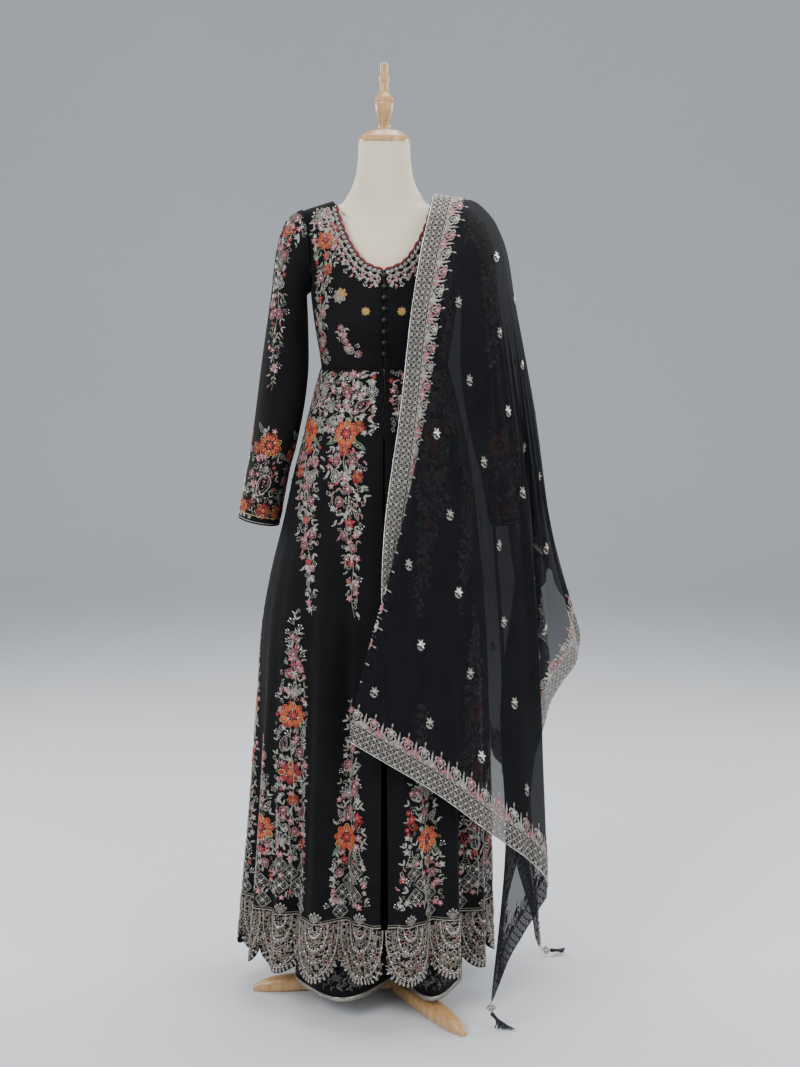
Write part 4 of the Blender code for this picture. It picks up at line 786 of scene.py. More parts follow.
def dupatta_skin(turn, cloth):
    """The dupatta with the fine folds that radiate from the shoulder."""
    turn, cloth = np.broadcast_arrays(np.asarray(turn, float), np.asarray(cloth, float))
    points = dupatta_at(turn, cloth)
    lane = np.minimum(turn, 4 - turn)
    spread = smooth_step((lane - 1.0) / 0.15) * smooth_step((cloth - 0.1) / 0.5)
    sizes = bpy.context.scene.suit_sizes
    deep = np.where(turn <= 2, sizes.front_ripple, sizes.back_ripple)
    wave = np.sin(2 * math.pi * FINE_FOLDS * turn + 1.3 * np.sin(2.2 * cloth + 5 * turn))
    wave = wave + 0.45 * np.sin(2 * math.pi * 1.7 * FINE_FOLDS * turn + 4 * cloth)
    return points + dupatta_normal(turn, cloth) * (deep * spread * wave)[..., None]


SKIRT_CLOTH = cloth_share_table()


def shell(name, surface, columns, rows, finish, wall=0.0, flip=False, sharp=70):
    """A thin sheet on a surface, over a grid of its u and v, made into a mesh."""
    u, v = np.meshgrid(columns, rows, indexing="ij")
    points = surface(u.ravel(), v.ravel()) + AXIS
    across, up = len(columns), len(rows)
    corner = (np.arange(across - 1)[:, None] * up + np.arange(up - 1)[None, :]).ravel()
    faces = np.stack([corner, corner + up, corner + up + 1, corner + 1], axis=1)
    if flip:
        faces = faces[:, ::-1]
    made = mesh_object(name, points, faces, finish)
    weld(made)
    if wall:
        thick = made.modifiers.new("wall", "SOLIDIFY")
        thick.thickness = wall
        thick.offset = -1.0
    made.data.shade_smooth()
    made.data.set_sharp_from_angle(angle=math.radians(sharp))
    return made


def even(count):
    return np.linspace(0, 1, count + 1)


def mesh_object(name, points, faces, finish):
    """A mesh of points and faces, linked into the scene with one finish."""
    mesh = bpy.data.meshes.new(name)
    mesh.from_pydata(points.tolist(), [], faces.tolist())
    mesh.materials.append(material(finish))
    made = bpy.data.objects.new(name, mesh)
    bpy.context.scene.collection.objects.link(made)
    return made


def weld(made, distance=2e-6):
    """Joins the points that meet, such as the two edges of a tube."""
    work = bmesh.new()
    work.from_mesh(made.data)
    bmesh.ops.remove_doubles(work, verts=work.verts, dist=distance)
    bmesh.ops.dissolve_degenerate(work, dist=distance, edges=work.edges)
    work.to_mesh(made.data)
    work.free()


def dress(made, slot, *nodes):
    """Puts a piece on the form in place of its plain solids."""
    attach(made, "root")
    if nodes:
        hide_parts(*nodes)
    return made


def sheet_sizes(surface, steps=80):
    """The flat width, length and area of a panel, measured over its surface. A panel that flares is
    as wide as its widest row below the middle."""
    u, v = np.meshgrid(even(steps), even(steps), indexing="ij")
    grid = surface(u.ravel(), v.ravel()).reshape(steps + 1, steps + 1, 3)
    across = np.linalg.norm(np.diff(grid, axis=0), axis=-1).sum(axis=0)
    up = np.linalg.norm(np.diff(grid, axis=1), axis=-1).sum(axis=1)
    cells = np.cross(grid[1:, :-1] - grid[:-1, :-1], grid[:-1, 1:] - grid[:-1, :-1])
    area = float(np.linalg.norm(cells, axis=-1).sum())
    length = float(up.max())
    width = max(float(across[:steps // 2].max()), area / length)
    return width, length, area


def declare_panel(surface):
    """Measures the cut of a panel over its surface; the sizes are not kept or used."""
    width, length, area = sheet_sizes(surface)


def panel(name, node, surface, columns, rows, flip=False):
    """A panel of the gown: its skin in place of its plain solid. Its cut is measured but not kept."""
    wall = bpy.context.scene.suit_sizes.gown_cloth
    made = shell(name, surface, columns, rows, "georgette", wall, flip)
    dress(made, "black_cloth", node)
    declare_panel(surface)


# Finishes.

def nodes_of(name):
    made = bpy.data.materials.new(name)
    made.use_nodes = True
    tree = made.node_tree
    return made, tree, tree.nodes["Principled BSDF"]


def place_node(tree, kind, **values):
    node = tree.nodes.new(kind)
    for key, value in values.items():
        if key in node.inputs:
            node.inputs[key].default_value = value
        else:
            setattr(node, key, value)
    return node


def mottle(tree, shader, source, colour, low, high, scale, detail=3.0):
    """A colour that varies between two depths of itself."""
    noise = place_node(tree, "ShaderNodeTexNoise", Scale=scale, Detail=detail, Roughness=0.6)
    ramp = tree.nodes.new("ShaderNodeValToRGB")
    ramp.color_ramp.elements[0].position = 0.32
    ramp.color_ramp.elements[1].position = 0.68
    ramp.color_ramp.elements[0].color = [low * part for part in colour[:3]] + [1]
    ramp.color_ramp.elements[1].color = [min(high * part, 1) for part in colour[:3]] + [1]
    tree.links.new(source, noise.inputs["Vector"])
    tree.links.new(noise.outputs["Fac"], ramp.inputs["Fac"])
    tree.links.new(ramp.outputs["Color"], shader.inputs["Base Color"])
    return noise


def set_sockets(shader, **values):
    """Sets the shader's own sockets, named with an underscore for each space."""
    for key, value in values.items():
        shader.inputs[key.replace("_", " ")].default_value = value


def bump(tree, shader, height, strength, distance):
    node = place_node(tree, "ShaderNodeBump", Strength=strength, Distance=distance)
    tree.links.new(height, node.inputs["Height"])
    tree.links.new(node.outputs["Normal"], shader.inputs["Normal"])


def woven(name, colour, pitch, roughness, sheen, alpha=1.0):
    """Plain-woven cloth: warp and weft as crossed waves, with slubs in its colour."""
    made, tree, shader = nodes_of(name)
    where = tree.nodes.new("ShaderNodeTexCoord").outputs["Object"]
    warp = place_node(tree, "ShaderNodeTexWave", Scale=0.31 / pitch, Distortion=0.6, bands_direction="X")
    weft = place_node(tree, "ShaderNodeTexWave", Scale=0.31 / pitch, Distortion=0.6, bands_direction="Z")
    both = place_node(tree, "ShaderNodeMath", operation="ADD")
    for wave, socket in ((warp, 0), (weft, 1)):
        tree.links.new(where, wave.inputs["Vector"])
        tree.links.new(wave.outputs["Fac"], both.inputs[socket])
    bump(tree, shader, both.outputs["Value"], 0.35, pitch * 0.3)
    mottle(tree, shader, where, colour, 0.7, 1.4, 26.0)
    set_sockets(shader, Roughness=roughness, Sheen_Weight=sheen, Sheen_Roughness=0.45,
                Specular_IOR_Level=0.18, Alpha=alpha)
    return made


def thread(name, colour, metallic, roughness, pitch=0.45):
    """Embroidery thread: satin stitches lie side by side across each stroke."""
    made, tree, shader = nodes_of(name)
    where = tree.nodes.new("ShaderNodeTexCoord")
    stitches = place_node(tree, "ShaderNodeTexWave", Scale=0.31 / pitch, Distortion=0.8, bands_direction="Y")
    tree.links.new(where.outputs["UV"], stitches.inputs["Vector"])
    bump(tree, shader, stitches.outputs["Fac"], 0.5, 0.0003)
    mottle(tree, shader, where.outputs["Object"], colour, 0.55, 1.35, 260.0, 2.0)
    set_sockets(shader, Roughness=roughness, Metallic=metallic)
    return made


def turned_wood(name, colour):
    """Varnished beech, with grain that runs along the piece."""
    made, tree, shader = nodes_of(name)
    where = tree.nodes.new("ShaderNodeTexCoord").outputs["Object"]
    stretch = place_node(tree, "ShaderNodeMapping", Scale=(1.0, 1.0, 0.12))
    tree.links.new(where, stretch.inputs["Vector"])
    noise = mottle(tree, shader, stretch.outputs["Vector"], colour, 0.72, 1.18, 170.0, 5.0)
    bump(tree, shader, noise.outputs["Fac"], 0.12, 0.0003)
    set_sockets(shader, Roughness=0.34, Coat_Weight=0.35, Coat_Roughness=0.15)
    return made


def jersey(name, colour):
    """The form's cream knit cover, with fine columns of stitches."""
    made, tree, shader = nodes_of(name)
    where = tree.nodes.new("ShaderNodeTexCoord").outputs["Object"]
    ribs = place_node(tree, "ShaderNodeTexWave", Scale=260.0, Distortion=1.5, Detail=2.0,
                      bands_direction="X")
    tree.links.new(where, ribs.inputs["Vector"])
    bump(tree, shader, ribs.outputs["Fac"], 0.12, 0.0004)
    mottle(tree, shader, where, colour, 0.93, 1.04, 9.0)
    set_sockets(shader, Roughness=0.85, Sheen_Weight=0.25)
    return made


def spun_metal(name, colour):
    """Satin metal tube, brushed along its length."""
    made, tree, shader = nodes_of(name)
    where = tree.nodes.new("ShaderNodeTexCoord").outputs["Object"]
    stretch = place_node(tree, "ShaderNodeMapping", Scale=(1.0, 1.0, 0.02))
    tree.links.new(where, stretch.inputs["Vector"])
    noise = mottle(tree, shader, stretch.outputs["Vector"], colour, 0.85, 1.1, 600.0)
    bump(tree, shader, noise.outputs["Fac"], 0.05, 0.0002)
    set_sockets(shader, Roughness=0.3, Metallic=1.0)
    return made


def matt_stage(name, colour):
    """The plain studio floor and wall."""
    made, tree, shader = nodes_of(name)
    where = tree.nodes.new("ShaderNodeTexCoord").outputs["Object"]
    mottle(tree, shader, where, colour, 0.985, 1.01, 0.6)
    set_sockets(shader, Roughness=0.9)
    return made


@lru_cache(maxsize=None)
def material(name):
    """The finish of a name, made once."""
    colours = bpy.context.scene.suit_colours
    if name in THREADS:
        metallic, roughness = THREADS[name]
        return thread(f"thread_{name}", getattr(colours, name), metallic, roughness)
    makers = {
        "georgette": lambda: woven("georgette", colours.georgette, 0.0007, 0.92, 0.015),
        "sheer": lambda: woven("sheer", colours.sheer, 0.0006, 0.85, 0.015, colours.sheer_cover),
        "wood": lambda: turned_wood("wood", colours.wood),
        "form_cover": lambda: jersey("form_cover", colours.form_cover),
        "pole": lambda: spun_metal("pole", colours.pole),
        "stage": lambda: matt_stage("stage", colours.stage),
        "braid": lambda: thread("braid", colours.silver, 0.75, 0.32, 0.35),
        "cord": lambda: thread("cord", colours.black, 0.0, 0.6, 0.5),
    }
    return makers[name]()


# Threads of the needlework: how metallic and how rough each is.
THREADS = {
    "silver": (0.4, 0.42),
    "bright": (0.75, 0.24),
    "antique": (0.35, 0.48),
    "gold": (0.3, 0.45),
    "orange": (0.0, 0.55),
    "red": (0.0, 0.55),
    "pink": (0.0, 0.6),
    "green": (0.0, 0.6),
    # This thread is the silver thread darkened as painted shade, for the band above the palazzo's braid.
    "dusk": (0.3, 0.6),
    "black": (0.0, 0.7),
    "cover_seam": (0.0, 0.85),
}
THREAD_ORDER = list(THREADS)


class Pattern:
    """A flat piece of needlework in millimetres: x across, y along, and its height above the cloth."""

    def __init__(self):
        self.points = []
        self.faces = []
        self.threads = []
        self.total = 0

    def add(self, points, faces, thread_name):
        self.points.append(np.asarray(points, float))
        self.faces.append(np.asarray(faces, int) + self.total)
        self.threads.append(np.full(len(faces), THREAD_ORDER.index(thread_name)))
        self.total += len(points)

    def join(self, other, x=0.0, y=0.0, turn=0.0, size=1.0):
        """Adds another pattern, turned clockwise by degrees, at a place."""
        points, faces, threads = other.arrays()
        angle = math.radians(turn)
        cosine, sine = math.cos(angle) * size, math.sin(angle) * size
        moved = points * [1, 1, size]
        moved[:, 0] = x + points[:, 0] * cosine + points[:, 1] * sine
        moved[:, 1] = y - points[:, 0] * sine + points[:, 1] * cosine
        self.points.append(moved)
        self.faces.append(faces + self.total)
        self.threads.append(threads)
        self.total += len(moved)
        return self

    def arrays(self):
        if len(self.points) > 1:
            self.points = [np.concatenate(self.points)]
            self.faces = [np.concatenate(self.faces)]
            self.threads = [np.concatenate(self.threads)]
        return self.points[0], self.faces[0], self.threads[0]

    def stroke(self, line, width, thread_name, rise=0.8, closed=False):
        """A raised line of stitches along points. width is one number or one for each point."""
        line = np.asarray(line, float)
        count = len(line)
        width = np.broadcast_to(np.asarray(width, float), count)[:, None]
        along = course(line, closed)
        side = np.stack([-along[:, 1], along[:, 0]], axis=1)
        high = rise * np.minimum(width / width.max(), 1.0)
        flat = np.zeros((count, 1))
        left = np.hstack([line + 0.5 * side * width, flat])
        right = np.hstack([line - 0.5 * side * width, flat])
        ridge = np.hstack([line, high])
        here = np.arange(count if closed else count - 1)
        ahead = (here + 1) % count
        faces = []
        for a, b in ((0, 1), (1, 2)):
            faces.append(np.stack([a * count + here, b * count + here, b * count + ahead], axis=1))
            faces.append(np.stack([a * count + here, b * count + ahead, a * count + ahead], axis=1))
        self.add(np.concatenate([left, ridge, right]), np.concatenate(faces), thread_name)
        return self

    def petal(self, thread_name, length, width, x=0.0, y=0.0, turn=0.0, rise=0.9):
        """A filled petal that grows from its foot."""
        shares = np.array([0.0, 0.3, 0.65, 1.0])
        angle = math.radians(turn)
        way = np.array([math.sin(angle), math.cos(angle)])
        line = np.array([x, y]) + shares[:, None] * length * way
        return self.stroke(line, width * np.array([0.25, 0.95, 0.85, 0.06]), thread_name, rise)

    def loop(self, thread_name, length, width, x=0.0, y=0.0, turn=0.0, thick=1.0, sides=8, point=0.35):
        """An outlined petal or leaf that grows from its foot, more pointed as point nears 1."""
        round_it = 2 * math.pi * (np.arange(sides) + 0.0) / sides
        up = 0.5 - 0.5 * np.cos(round_it)
        across = 0.5 * width * np.sin(round_it) * (1 - point * up ** 2)
        angle = math.radians(turn)
        line = np.stack([x + across * math.cos(angle) + up * length * math.sin(angle),
                         y - across * math.sin(angle) + up * length * math.cos(angle)], axis=1)
        return self.stroke(line, thick, thread_name, 0.7 * thick, closed=True)

    def bead(self, thread_name, radius, x=0.0, y=0.0, rise=None, sides=6):
        """A bead, knot or sequin."""
        turn = 2 * math.pi * np.arange(sides) / sides
        rim = np.stack([x + radius * np.cos(turn), y + radius * np.sin(turn), 0 * turn], axis=1)
        top = [[x, y, radius * 0.8 if rise is None else rise]]
        faces = [[k, (k + 1) % sides, sides] for k in range(sides)]
        self.add(np.concatenate([rim, top]), faces, thread_name)
        return self


# Motifs, each about a named middle or foot, in millimetres.

@lru_cache(maxsize=None)
def rosette(outer="orange", inner="red", heart="gold", petals=9, radius=18.0):
    """A round flower of two rings of petals."""
    made = Pattern()
    for k in range(petals):
        turn = 360.0 * k / petals
        foot = turned_step(turn, radius * 0.42)
        made.petal(outer, radius * 0.5, radius * 0.34, *foot, turn, 1.3)
        made.loop(heart if k % 3 == 0 else outer, radius * 0.6, radius * 0.52, *foot, turn, radius * 0.09, 7)
    for k in range(6):
        made.petal(inner, radius * 0.4, radius * 0.26, turn=60.0 * k + 20, rise=1.7)
        made.bead("bright" if k % 2 else heart, radius * 0.06, *turned_step(60 * k + 50, 0.4 * radius))
    made.bead(heart, radius * 0.13, rise=2.2)
    return made


@lru_cache(maxsize=None)
def blossom(petal="pink", heart="bright", petals=5, radius=7.0, outlined=True):
    """A small flower with a bright knot."""
    made = Pattern()
    for k in range(petals):
        turn = 360.0 * k / petals
        if outlined:
            made.loop(petal, radius * 0.92, radius * 0.8, turn=turn, thick=radius * 0.17, sides=6, point=0.0)
        else:
            made.petal(petal, radius, radius * 0.62, turn=turn)
    made.bead(heart, radius * 0.24, rise=1.5)
    return made


def bud(petal, radius, heart="bright"):
    """A small flower of five filled petals."""
    return blossom(petal, heart, 5, radius, False)


@lru_cache(maxsize=None)
def leaf(outline="silver", vein="silver", length=15.0, width=7.0):
    """A leaf with its outline, vein and a few slanted stitches."""
    made = Pattern()
    made.loop(outline, length, width, thick=width * 0.15, sides=8, point=0.75)
    made.stroke([[0, 0], [0, length * 0.45], [0, length * 0.85]], width * 0.12, vein)
    for share in (0.3, 0.55):
        for side in (-1, 1):
            foot = np.array([0, length * share])
            made.stroke([foot, foot + [side * width * 0.26, length * 0.14]], width * 0.1, vein, 0.6)
    return made


@lru_cache(maxsize=None)
def leaf_pair(outline="silver", length=11.0):
    """Two leaves filled with satin stitch, which part from one foot."""
    made = Pattern()
    for side in (-1, 1):
        made.petal(outline, length, length * 0.36, turn=side * 38)
    return made


@lru_cache(maxsize=None)
def satin_leaf(thread_name="silver", length=12.0, width=5.0):
    """A leaf filled with satin stitch, beside the small bead at its tip."""
    return Pattern().petal(thread_name, length, width).bead("bright", 0.9, width * 0.55, length)


@lru_cache(maxsize=None)
def trefoil(thread_name="antique", length=6.5, leaves=3, spread=120):
    """A few short grains of satin stitch that part from one foot."""
    made = Pattern()
    for k in range(leaves):
        end = turned_step((k - (leaves - 1) / 2) * spread, length)
        made.stroke([0 * end, 0.55 * end, end], np.array([0.16, 0.46, 0.1]) * length, thread_name)
    return made


@lru_cache(maxsize=None)
def curl(thread_name="silver", size=8.0, wound=1.15, width=1.0):
    """A scroll that winds inwards."""
    share = np.linspace(0, 1, 7)
    angle = 2 * math.pi * wound * share
    radius = size * 0.5 * (1 - 0.72 * share)
    line = np.stack([radius * np.cos(angle) - size * 0.25, radius * np.sin(angle)], axis=1)
    return Pattern().stroke(line, width * (1.1 - 0.5 * share), thread_name)


@lru_cache(maxsize=None)
def spray(stem="silver", tip="bright", length=13.0, tips=3):
    """Twigs that end in beads."""
    made = Pattern()
    for k in range(tips):
        end = turned_step((k - (tips - 1) / 2) * 26, length * (1.0 if k % 2 else 0.86))
        made.stroke([[0, 0], end * 0.5 + [0.6 * (k - 1), 0], end], 0.8, stem, 0.6)
        made.bead(tip, 1.3, *end)
    return made


@lru_cache(maxsize=None)
def paisley(outline="silver", inner="pink", size=26.0):
    """A curved drop with scrolls and knots inside it."""
    made = Pattern()
    share = np.linspace(0, 1, 17)[:-1]
    angle = 2 * math.pi * share
    swell = size * 0.3 * (1 - 0.55 * (0.5 - 0.5 * np.cos(angle)) ** 3)
    x = swell * np.sin(angle) + size * 0.24 * (0.5 - 0.5 * np.cos(angle)) ** 2.4
    y = size * (0.5 - 0.5 * np.cos(angle))
    made.stroke(np.stack([x, y], axis=1), size * 0.055, outline, 1.2, closed=True)
    within = np.stack([x * 0.72 + 0.4, y * 0.74 + size * 0.08], axis=1)[::2]
    made.stroke(within, size * 0.035, inner, 0.9, closed=True)
    made.join(curl(inner, size * 0.34), 0.0, size * 0.3, 40)
    for k in range(4):
        made.bead("bright" if k % 2 else outline, size * 0.035, size * (0.02 * k), size * (0.16 + 0.13 * k))
    made.join(curl(outline, size * 0.3), size * 0.27, size * 0.98, 200)
    return made


@lru_cache(maxsize=None)
def diamond(size=33.0, line="silver"):
    """A round-cornered lozenge with a four-petalled flower inside."""
    made = Pattern()
    for share, width in ((1.0, 1.4), (0.8, 0.8)):
        angle = 2 * math.pi * np.arange(16) / 16
        reach = 0.5 * size * share / (np.abs(np.sin(angle)) + np.abs(np.cos(angle))) ** 0.8
        outline = np.stack([reach * np.sin(angle), reach * np.cos(angle)], axis=1)
        made.stroke(outline, width, line, 0.9, closed=True)
    for k in range(4):
        made.petal(line, size * 0.2, size * 0.11, turn=90 * k + 45)
        made.loop(line, size * 0.27, size * 0.14, turn=90 * k, thick=0.8, sides=6)
        made.bead("bright", size * 0.035, *turned_step(90 * k + 45, 0.26 * size))
    made.bead("bright", size * 0.06, rise=1.7)
    return made


@lru_cache(maxsize=None)
def fan(line="silver", fill="silver", size=30.0, ribs=5):
    """A palmette that opens upwards from its foot."""
    made = Pattern()
    for k in range(ribs):
        turn = (k - (ribs - 1) / 2) * 24
        length = size * (1 - 0.1 * abs(k - (ribs - 1) / 2))
        made.loop(line, length, size * 0.26, turn=turn, thick=1.1, sides=8, point=0.3)
        made.petal(fill, length * 0.7, size * 0.09, turn=turn)
        made.bead("bright", 1.3, *turned_step(turn, length * 0.84))
    made.join(curl(line, size * 0.3), -size * 0.1, 0, 120)
    made.join(curl(line, size * 0.3), size * 0.1, 0, -60)
    return made


@lru_cache(maxsize=None)
def bell(line="silver", size=26.0):
    """A bell flower that hangs from its foot at the top."""
    made = Pattern()
    share = np.linspace(0, 1, 6)
    for side in (-1, 1):
        x = side * size * (0.08 + 0.34 * share ** 1.6)
        made.stroke(np.stack([x, -size * share], axis=1), 1.3, line, 1.0)
    for row in range(1, 5):
        half = size * (0.08 + 0.34 * (row / 5) ** 1.6) * 0.85
        low = -size * row / 5
        made.stroke([[-half, low], [0, low - 2], [half, low]], 0.9, line, 0.8)
    for k in range(5):
        made.loop(line, size * 0.16, size * 0.15, (k - 2) * size * 0.17, -size * 0.98, 180, 0.9, 6)
    return made


@lru_cache(maxsize=None)
def star(first="gold", second="silver", heart="red", radius=16.0):
    """An eight-pointed flower with round petals."""
    made = Pattern()
    for k in range(8):
        thread_name = first if k in (0, 1, 2) else second
        made.loop(thread_name, radius * 0.86, radius * 0.5, 0, 0, 45 * k, radius * 0.12, 7, 0.5)
        made.petal(thread_name, radius * 0.7, radius * 0.26, turn=45 * k)
    for k in range(4):
        made.petal(heart, radius * 0.32, radius * 0.2, turn=90 * k + 22, rise=1.8)
    made.bead("bright", radius * 0.12, rise=2.0)
    return made


class Ground:
    """Cloth sampled on a grid of u and v, so that needlework can be laid on it."""

    def __init__(self, surface, u_range, v_range, columns, rows, outward):
        self.low = np.array([u_range[0], v_range[0]], float)
        self.size = np.array([u_range[1] - u_range[0], v_range[1] - v_range[0]], float)
        self.steps = np.array([columns, rows])
        u, v = np.meshgrid(np.linspace(*u_range, columns + 1), np.linspace(*v_range, rows + 1), indexing="ij")
        self.points = surface(u.ravel(), v.ravel()).reshape(columns + 1, rows + 1, 3)
        over = np.gradient(self.points, axis=0)
        up = np.gradient(self.points, axis=1)
        self.normals = unit(np.cross(over, up) * outward)

    def read(self, grid, place):
        at = (place - self.low) / self.size * self.steps
        at = np.clip(at, 0, self.steps - 1e-6)
        cell = at.astype(int)
        part = at - cell
        i, j = cell[..., 0], cell[..., 1]
        s, t = part[..., :1], part[..., 1:]
        near = grid[i, j] * (1 - s) + grid[i + 1, j] * s
        far = grid[i, j + 1] * (1 - s) + grid[i + 1, j + 1] * s
        return near * (1 - t) + far * t

    def lay(self, place, height):
        """Points on the cloth at places, lifted off it by a height in metres."""
        normal = self.read(self.normals, place)
        return self.read(self.points, place) + normal * np.asarray(height)[..., None]

    def weave(self, u, v):
        """How a metre across and a metre up the cloth go over into u and v at a place."""
        step = 2.0 * self.size / self.steps
        u = np.clip(u, self.low[0] + step[0], self.low[0] + self.size[0] - step[0])
        v = np.clip(v, self.low[1] + step[1], self.low[1] + self.size[1] - step[1])
        here = np.array([[u + step[0], v], [u - step[0], v], [u, v + step[1]], [u, v - step[1]]])
        east, west, north, south = self.read(self.points, here)
        along_u = (east - west) / (2 * step[0])
        along_v = (north - south) / (2 * step[1])
        normal = self.read(self.normals, np.array([u, v]))
        up = along_v / np.linalg.norm(along_v)
        across = np.cross(up, normal)
        gram = np.array([[along_u @ along_u, along_u @ along_v], [along_u @ along_v, along_v @ along_v]])
        wanted = np.array([[across @ along_u, up @ along_u], [across @ along_v, up @ along_v]])
        return np.linalg.solve(gram, wanted)


class Needlework:
    """Gathers the motifs sewn on cloth and makes one mesh of them."""

    def __init__(self, name):
        self.name = name
        self.points = []
        self.flat = []
        self.faces = []
        self.threads = []
        self.total = 0
        self.rooms = []

    def take(self, point, reach):
        """Keeps the room round a point for a larger motif."""
        self.rooms.append([*point, reach])

    def is_taken(self, point):
        if not self.rooms:
            return False
        rooms = np.array(self.rooms)
        return bool((np.linalg.norm(rooms[:, :3] - point, axis=1) < rooms[:, 3]).any())

    def keep(self, points, flat, faces, threads):
        self.points.append(points)
        self.flat.append(flat)
        self.faces.append(faces + self.total)
        self.threads.append(threads)
        self.total += len(points)

    def sew(self, ground, pattern, u, v, turn=0.0, size=1.0, mirror=False):
        """Lays a motif on the cloth at u and v, turned clockwise by degrees."""
        points, faces, threads = pattern.arrays()
        angle = math.radians(turn)
        x = points[:, 0] * (-size if mirror else size)
        y = points[:, 1] * size
        over = x * math.cos(angle) + y * math.sin(angle)
        up = -x * math.sin(angle) + y * math.cos(angle)
        place = np.array([u, v]) + (ground.weave(u, v) @ (np.stack([over, up]) * 0.001)).T
        lifted = ground.lay(place, bpy.context.scene.suit_sizes.stitch_lift + points[:, 2] * 0.001)
        self.keep(lifted, points[:, :2], faces[:, ::-1] if mirror else faces, threads)

    def line(self, ground, places, width, thread_name, rise=0.9):
        """A stroke whose points are given in u and v, and its width in millimetres."""
        places = np.asarray(places, float)
        middle = ground.read(ground.points, places)
        normal = ground.read(ground.normals, places)
        side = np.cross(normal, course(middle))
        count = len(places)
        width = np.broadcast_to(np.asarray(width, float), count)
        half = 0.0005 * width[:, None] * side
        base = middle + normal * bpy.context.scene.suit_sizes.stitch_lift
        ridge = base + normal * (0.001 * rise * np.minimum(width / width.max(), 1))[:, None]
        pattern = Pattern().stroke(np.stack([0 * width, np.arange(count) * 2.0], axis=1), 1.0, thread_name)
        flat, faces, threads = pattern.arrays()
        self.keep(np.concatenate([base + half, ridge, base - half]), flat[:, :2], faces, threads)

    def finish(self, slot):
        """The joined mesh of all that was sewn."""
        points = np.concatenate(self.points) + AXIS
        faces = np.concatenate(self.faces)
        threads = np.concatenate(self.threads)
        flat = np.concatenate(self.flat)
        mesh = bpy.data.meshes.new(self.name)
        mesh.vertices.add(len(points))
        mesh.vertices.foreach_set("co", points.ravel())
        mesh.loops.add(faces.size)
        mesh.loops.foreach_set("vertex_index", faces.ravel())
        mesh.polygons.add(len(faces))
        mesh.polygons.foreach_set("loop_start", np.arange(0, faces.size, 3))
        used = sorted(set(threads.tolist()))
        for index in used:
            mesh.materials.append(material(THREAD_ORDER[index]))
        mesh.polygons.foreach_set("material_index", np.searchsorted(used, threads))
        layer = mesh.uv_layers.new(name="stitches")
        layer.data.foreach_set("uv", flat[faces.ravel()].ravel())
        mesh.update(calc_edges=True)
        mesh.validate()
        mesh.shade_smooth()
        made = bpy.data.objects.new(self.name, mesh)
        bpy.context.scene.collection.objects.link(made)
        return dress(made, slot)


# The form, stand and studio.

def closed_solid(name, surface, columns, rows, finish, sharp=40):
    """A closed solid: a tube of the surface with flat ends."""
    made = shell(name, surface, columns, rows, finish)
    work = bmesh.new()
    work.from_mesh(made.data)
    rims = [edge for edge in work.edges if edge.is_boundary]
    bmesh.ops.holes_fill(work, edges=rims, sides=0)
    bmesh.ops.recalc_face_normals(work, faces=work.faces)
    work.to_mesh(made.data)
    work.free()
    made.data.shade_smooth()
    made.data.set_sharp_from_angle(angle=math.radians(sharp))
    return made


def turned(name, profile, base, finish, steps=64, rows=60):
    """A turned piece: a profile of radii and heights spun round the pole's axis."""

    def surface(u, v):
        places = np.linspace(0, 1, len(profile))
        radius = np.interp(v, places, column(profile, "radius"))
        height = base + np.interp(v, places, column(profile, "height"))
        angle = 2 * math.pi * u
        return np.stack([radius * np.cos(angle), radius * np.sin(angle), height], axis=-1)

    return closed_solid(name, surface, even(steps), even(rows), finish)


def stand_leg_surface(angle):
    """A stand leg: u round its rounded section, v from the hub to its toe."""
    reaches = column(LEG_RINGS, "reach")
    outward = np.array([math.sin(angle), -math.cos(angle)])
    sideways = np.array([math.cos(angle), math.sin(angle)])

    def surface(u, v):
        reach = reaches[0] + (LEG_REACH - reaches[0]) * v
        half_width = spline(reach, reaches, column(LEG_RINGS, "half_width"))
        low = np.interp(reach, reaches, column(LEG_RINGS, "low"))
        high = spline(reach, reaches, column(LEG_RINGS, "high"))
        turn = 2 * math.pi * u
        side = half_width * np.sign(np.cos(turn)) * np.abs(np.cos(turn)) ** 0.6
        up = np.sign(np.sin(turn)) * np.abs(np.sin(turn)) ** 0.8
        share = np.where(up < 0, (1 + up) * 0.25, 0.25 + 0.75 * up)
        height = np.where(up < -0.8, low, low + share * (high - low))
        plan = reach[:, None] * outward + side[:, None] * sideways
        return np.stack([plan[:, 0], plan[:, 1], height], axis=-1)

    return surface


def make_form():
    """The dress form's torso in its knit cover, its neck cap and its turned finial."""
    torso = closed_solid("torso", form_surface, even(84), even(80), "form_cover")
    dress(torso, "form_cloth", "form_torso")
    cap = turned("cap", CAP_PROFILE, NECK_TOP, "wood", 72, 40)
    dress(cap, "wood", "neck_cap")
    knob = turned("knob", FINIAL_PROFILE, NECK_TOP, "wood", 48, 114)
    dress(knob, "wood", "finial")
    seam = Needlework("torso_seam")
    front = Ground(form_surface, (0.3, 0.7), (0.3, 1.0), 80, 200, 1)
    seam.line(front, [[0.5, share] for share in np.linspace(0.35, 0.998, 90)], 1.3, "cover_seam", 0.35)
    seam.finish("form_cloth")


